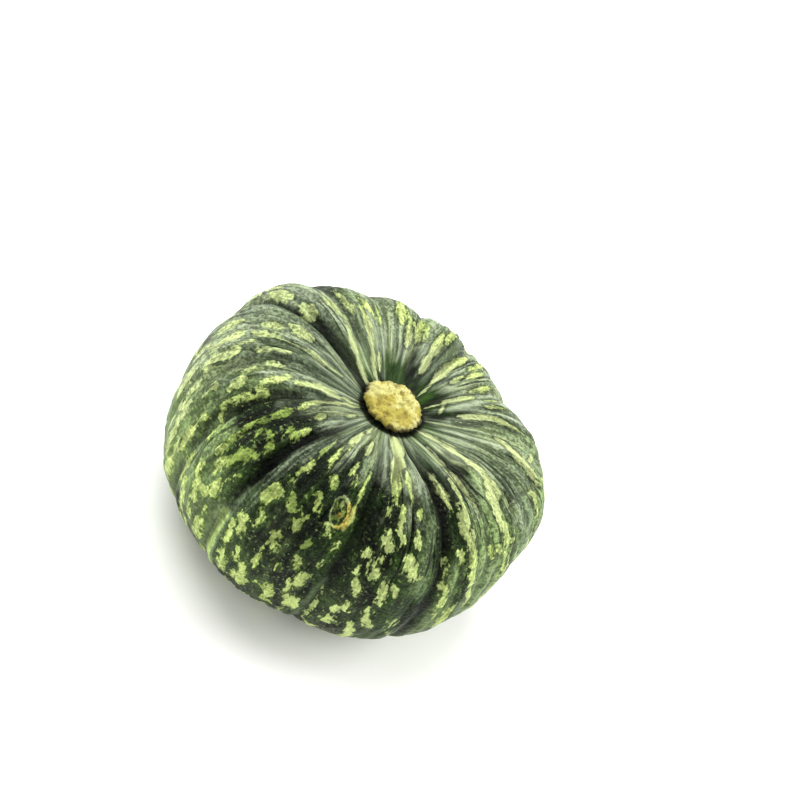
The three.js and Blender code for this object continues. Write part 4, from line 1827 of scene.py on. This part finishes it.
@dataclass(frozen=True)
class StemStub:
    """The cut stem: a corky disc that flares out over its foot, in millimetres until it is finished.

    Attributes:
        finish: Its cork.
        radius: Its radius.
        height: Its height.
        outline: Levels as shares of the height, each with its radius as a share of the whole.
        knobs: The swellings of its outline.
        sides: The sides of the disc that it starts from.
        rings: The rings of faces on the disc's top and base.
        cuts: How many times each of the disc's edges is cut.
        top: The levels between which the top's relief begins.
        sag: How far the top's edge lies lower than its middle.
        sag_power: How suddenly it does.
        lumps: The size and height of a lump.
        grit: The same for grit.
        wall: The same for the wall's lumps.
        pits: The size and depth of a pit.
        pit_edge: The pit noise between which a pit runs out.
        rim: The shares of the radius between which the wall's relief begins.
        side_rim: The shares of the radius between which the brown side begins.
        side_top: The levels between which the brown fades.
        side_fade: How much it fades.
        level: How upright the normal of a face on the top or the base is at least.
    """

    finish: CorkFinish = CorkFinish()
    radius: float = 15.6
    height: float = 6.2
    outline: tuple[Pair, ...] = ((0, 0.81), (0.3, 0.94), (0.6, 1.0), (0.84, 0.97), (1, 0.86))
    knobs: tuple[Wave, ...] = (Wave(5, 0.028, 20), Wave(3, 0.022, 80), Wave(9, 0.012, 10))
    sides: int = 56
    rings: int = 8
    cuts: int = 2
    top: Pair = (0.35, 1.0)
    sag: float = 0.6
    sag_power: int = 6
    lumps: Pair = (5.5, 1.5)
    grit: Pair = (1.6, 0.9)
    wall: Pair = (3.0, 1.1)
    pits: Pair = (3.4, 1.0)
    pit_edge: Pair = (0.16, 0.42)
    rim: Pair = (0.75, 1.0)
    side_rim: Pair = (0.85, 1.0)
    side_top: Pair = (0.4, 1.0)
    side_fade: float = 0.75
    level: float = 0.9

    def build(self) -> bpy.types.Object:
        """Makes the stem's mesh and dresses it.

        Returns:
            The finished piece.
        """
        piece = self.start()
        points = mesh_points(piece)
        level = points[:, 2] / self.height
        reach = np.hypot(points[:, 0], points[:, 1])
        angle = np.degrees(np.arctan2(points[:, 1], points[:, 0]))
        flare = np.interp(level, *zip(*self.outline)) * swell(self.knobs, angle)
        outward = reach / self.radius
        points[:, :2] *= flare[:, None]
        top = smoothstep(level, *self.top)
        sag = self.sag * outward**self.sag_power
        # what is added to the places keeps the noises from being alike
        lumps = noise_at(points, self.lumps[0], 2) * self.lumps[1]
        grit = noise_at(points + 50, self.grit[0], 2) * self.grit[1]
        pits = smoothstep(noise_at(points + 90, self.pits[0]), *self.pit_edge)
        points[:, 2] += top * (lumps + grit - sag - pits * self.pits[1])
        wall = noise_at(points + 20, self.wall[0], 2) * self.wall[1] + grit
        points[:, :2] *= (1 + wall * smoothstep(outward, *self.rim) / self.radius)[:, None]
        side = (1 - self.side_fade * smoothstep(level, *self.side_top)) * smoothstep(outward, *self.side_rim)
        store(piece, pit=pits * top, side=side)
        fit(piece, points, "stem")
        bpy.ops.object.shade_smooth()
        piece.data.materials.append(self.finish.make())
        return piece

    def start(self) -> bpy.types.Object:
        """Adds a disc with rings of faces over its top and its base.

        Returns:
            The disc.
        """
        deselect()
        middle = (0, 0, self.height / 2)
        bpy.ops.mesh.primitive_cylinder_add(
            vertices=self.sides, radius=self.radius, depth=self.height, location=middle
        )
        piece = bpy.context.object
        piece.name = "stem_cork"
        bpy.ops.object.transform_apply(location=True)
        for up in (1, -1):
            bpy.ops.object.mode_set(mode="EDIT")
            bpy.ops.mesh.select_mode(type="FACE")
            bpy.ops.mesh.select_all(action="DESELECT")
            bpy.ops.object.mode_set(mode="OBJECT")
            for face in piece.data.polygons:
                face.select = face.normal.z * up > self.level
            bpy.ops.object.mode_set(mode="EDIT")
            for _ in range(self.rings - 1):
                bpy.ops.mesh.inset(thickness=self.radius / self.rings)
            bpy.ops.mesh.merge(type="CENTER")
            bpy.ops.object.mode_set(mode="OBJECT")
        subdivide(self.cuts)
        return piece


# ---------------------------------------------------------------- the studio


@dataclass(frozen=True)
class FloorFinish(Finish):
    """A plain pale floor, matt and even."""

    name: str = "pale floor"
    paint: str = "#f4f4f2"
    roughness: float = 0.9

    def surface(self, add: Adder) -> tuple[object, ...]:
        """Gives the colour and the roughness."""
        return self.paint, self.roughness


@dataclass(frozen=True)
class Softbox:
    """A round soft light.

    Attributes:
        name: Its name.
        toward: Which way it lies, along the camera's right, up and backward directions.
        size: Its width in metres.
        energy: Its power in watts.
        mirrored: Whether glossy skin mirrors it.
    """

    name: str
    toward: Triple
    size: float
    energy: float
    mirrored: bool = True


@dataclass(frozen=True)
class Studio:
    """The floor, the light and the camera, in millimetres, placed from the middle of the waist.

    Attributes:
        waist: The middle of the squash's waist.
        elevation: How far above the waist the camera looks from, in degrees.
        roll: How far it is turned about its line of sight, in degrees.
        distance: How far away it is.
        look_right: How far to the right of the waist it is aimed, in its own picture.
        look_up: How far above the waist it is aimed there.
        lens: Its focal length.
        floor_size: The floor's width in metres, as the next length is.
        light_distance: How far away the softboxes are.
        all_round: The strength of the light from all round.
        softboxes: The lights.
    """

    waist: Vector
    elevation: float = 43.0
    roll: float = 36.6
    distance: float = 765.0
    look_right: float = 24.2
    look_up: float = 31.5
    lens: float = 69.7
    floor_size: float = 12.0
    light_distance: float = 1.7
    all_round: float = 0.5
    softboxes: tuple[Softbox, ...] = (
        Softbox("softbox", (0.15, 1.0, 0.5), 1.8, 38),
        Softbox("fill", (0.1, 0.2, 1.0), 2.2, 12, mirrored=False),
        Softbox("left side", (-1.0, 0.45, 0.1), 1.2, 32),
        Softbox("right side", (1.0, 0.15, -0.05), 1.2, 28),
    )

    def build(self) -> None:
        """Makes everything that isn't the object."""
        self.add_camera()
        self.add_floor()
        for softbox in self.softboxes:
            self.hang(softbox)
        self.light_all_round()

    def axes(self) -> Matrix:
        """The camera's right, up and backward directions as the columns of a rotation."""
        tilt = Matrix.Rotation(math.radians(90 - self.elevation), 3, "X")
        return tilt @ Matrix.Rotation(math.radians(self.roll), 3, "Z")

    def add_camera(self) -> None:
        """Puts the camera where it sees the stem from above the waist."""
        turn = self.axes()
        place = self.waist + turn @ Vector((self.look_right, self.look_up, self.distance))
        data = bpy.data.cameras.new("camera")
        data.lens = self.lens
        camera = bpy.data.objects.new("camera", data)
        camera.matrix_world = Matrix.Translation(place * MM) @ turn.to_4x4()
        bpy.context.scene.collection.objects.link(camera)
        bpy.context.scene.camera = camera

    def add_floor(self) -> None:
        """Lays a wide pale floor."""
        deselect()
        bpy.ops.mesh.primitive_plane_add(size=self.floor_size)
        floor = bpy.context.object
        floor.name = "floor"
        floor.data.materials.append(FloorFinish().make())

    def hang(self, softbox: Softbox) -> None:
        """Hangs a softbox, turned to the waist.

        Args:
            softbox: The light.
        """
        way = (self.axes() @ Vector(softbox.toward)).normalized()
        data = bpy.data.lights.new(softbox.name, "AREA")
        data.shape = "DISK"
        data.size = softbox.size
        data.energy = softbox.energy
        lamp = bpy.data.objects.new(softbox.name, data)
        place = self.waist * MM + way * self.light_distance
        lamp.matrix_world = Matrix.Translation(place) @ way.to_track_quat("Z", "Y").to_matrix().to_4x4()
        lamp.visible_glossy = softbox.mirrored
        bpy.context.scene.collection.objects.link(lamp)

    def light_all_round(self) -> None:
        """Adds even white light from all round, and shows colours as they are."""
        world = bpy.data.worlds.new("studio")
        world.use_nodes = True
        background = world.node_tree.nodes["Background"]
        background.inputs["Color"].default_value = (1, 1, 1, 1)
        background.inputs["Strength"].default_value = self.all_round
        bpy.context.scene.world = world
        bpy.context.scene.view_settings.view_transform = "Standard"


def main() -> None:
    """Builds the squash and the studio, and reports each piece."""
    logging.basicConfig(level=logging.INFO, format="%(name)s: %(message)s")
    rind = Rind()
    body = rind.build()
    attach(body, BODY)
    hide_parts("squash_body")
    LOG.info("%s: %d faces", body.name, len(body.data.polygons))
    stem = StemStub().build()
    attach(stem, BODY)
    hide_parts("stem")
    LOG.info("%s: %d faces", stem.name, len(stem.data.polygons))
    Studio(rind.waist / MM).build()


if __name__ == "__main__":
    main()
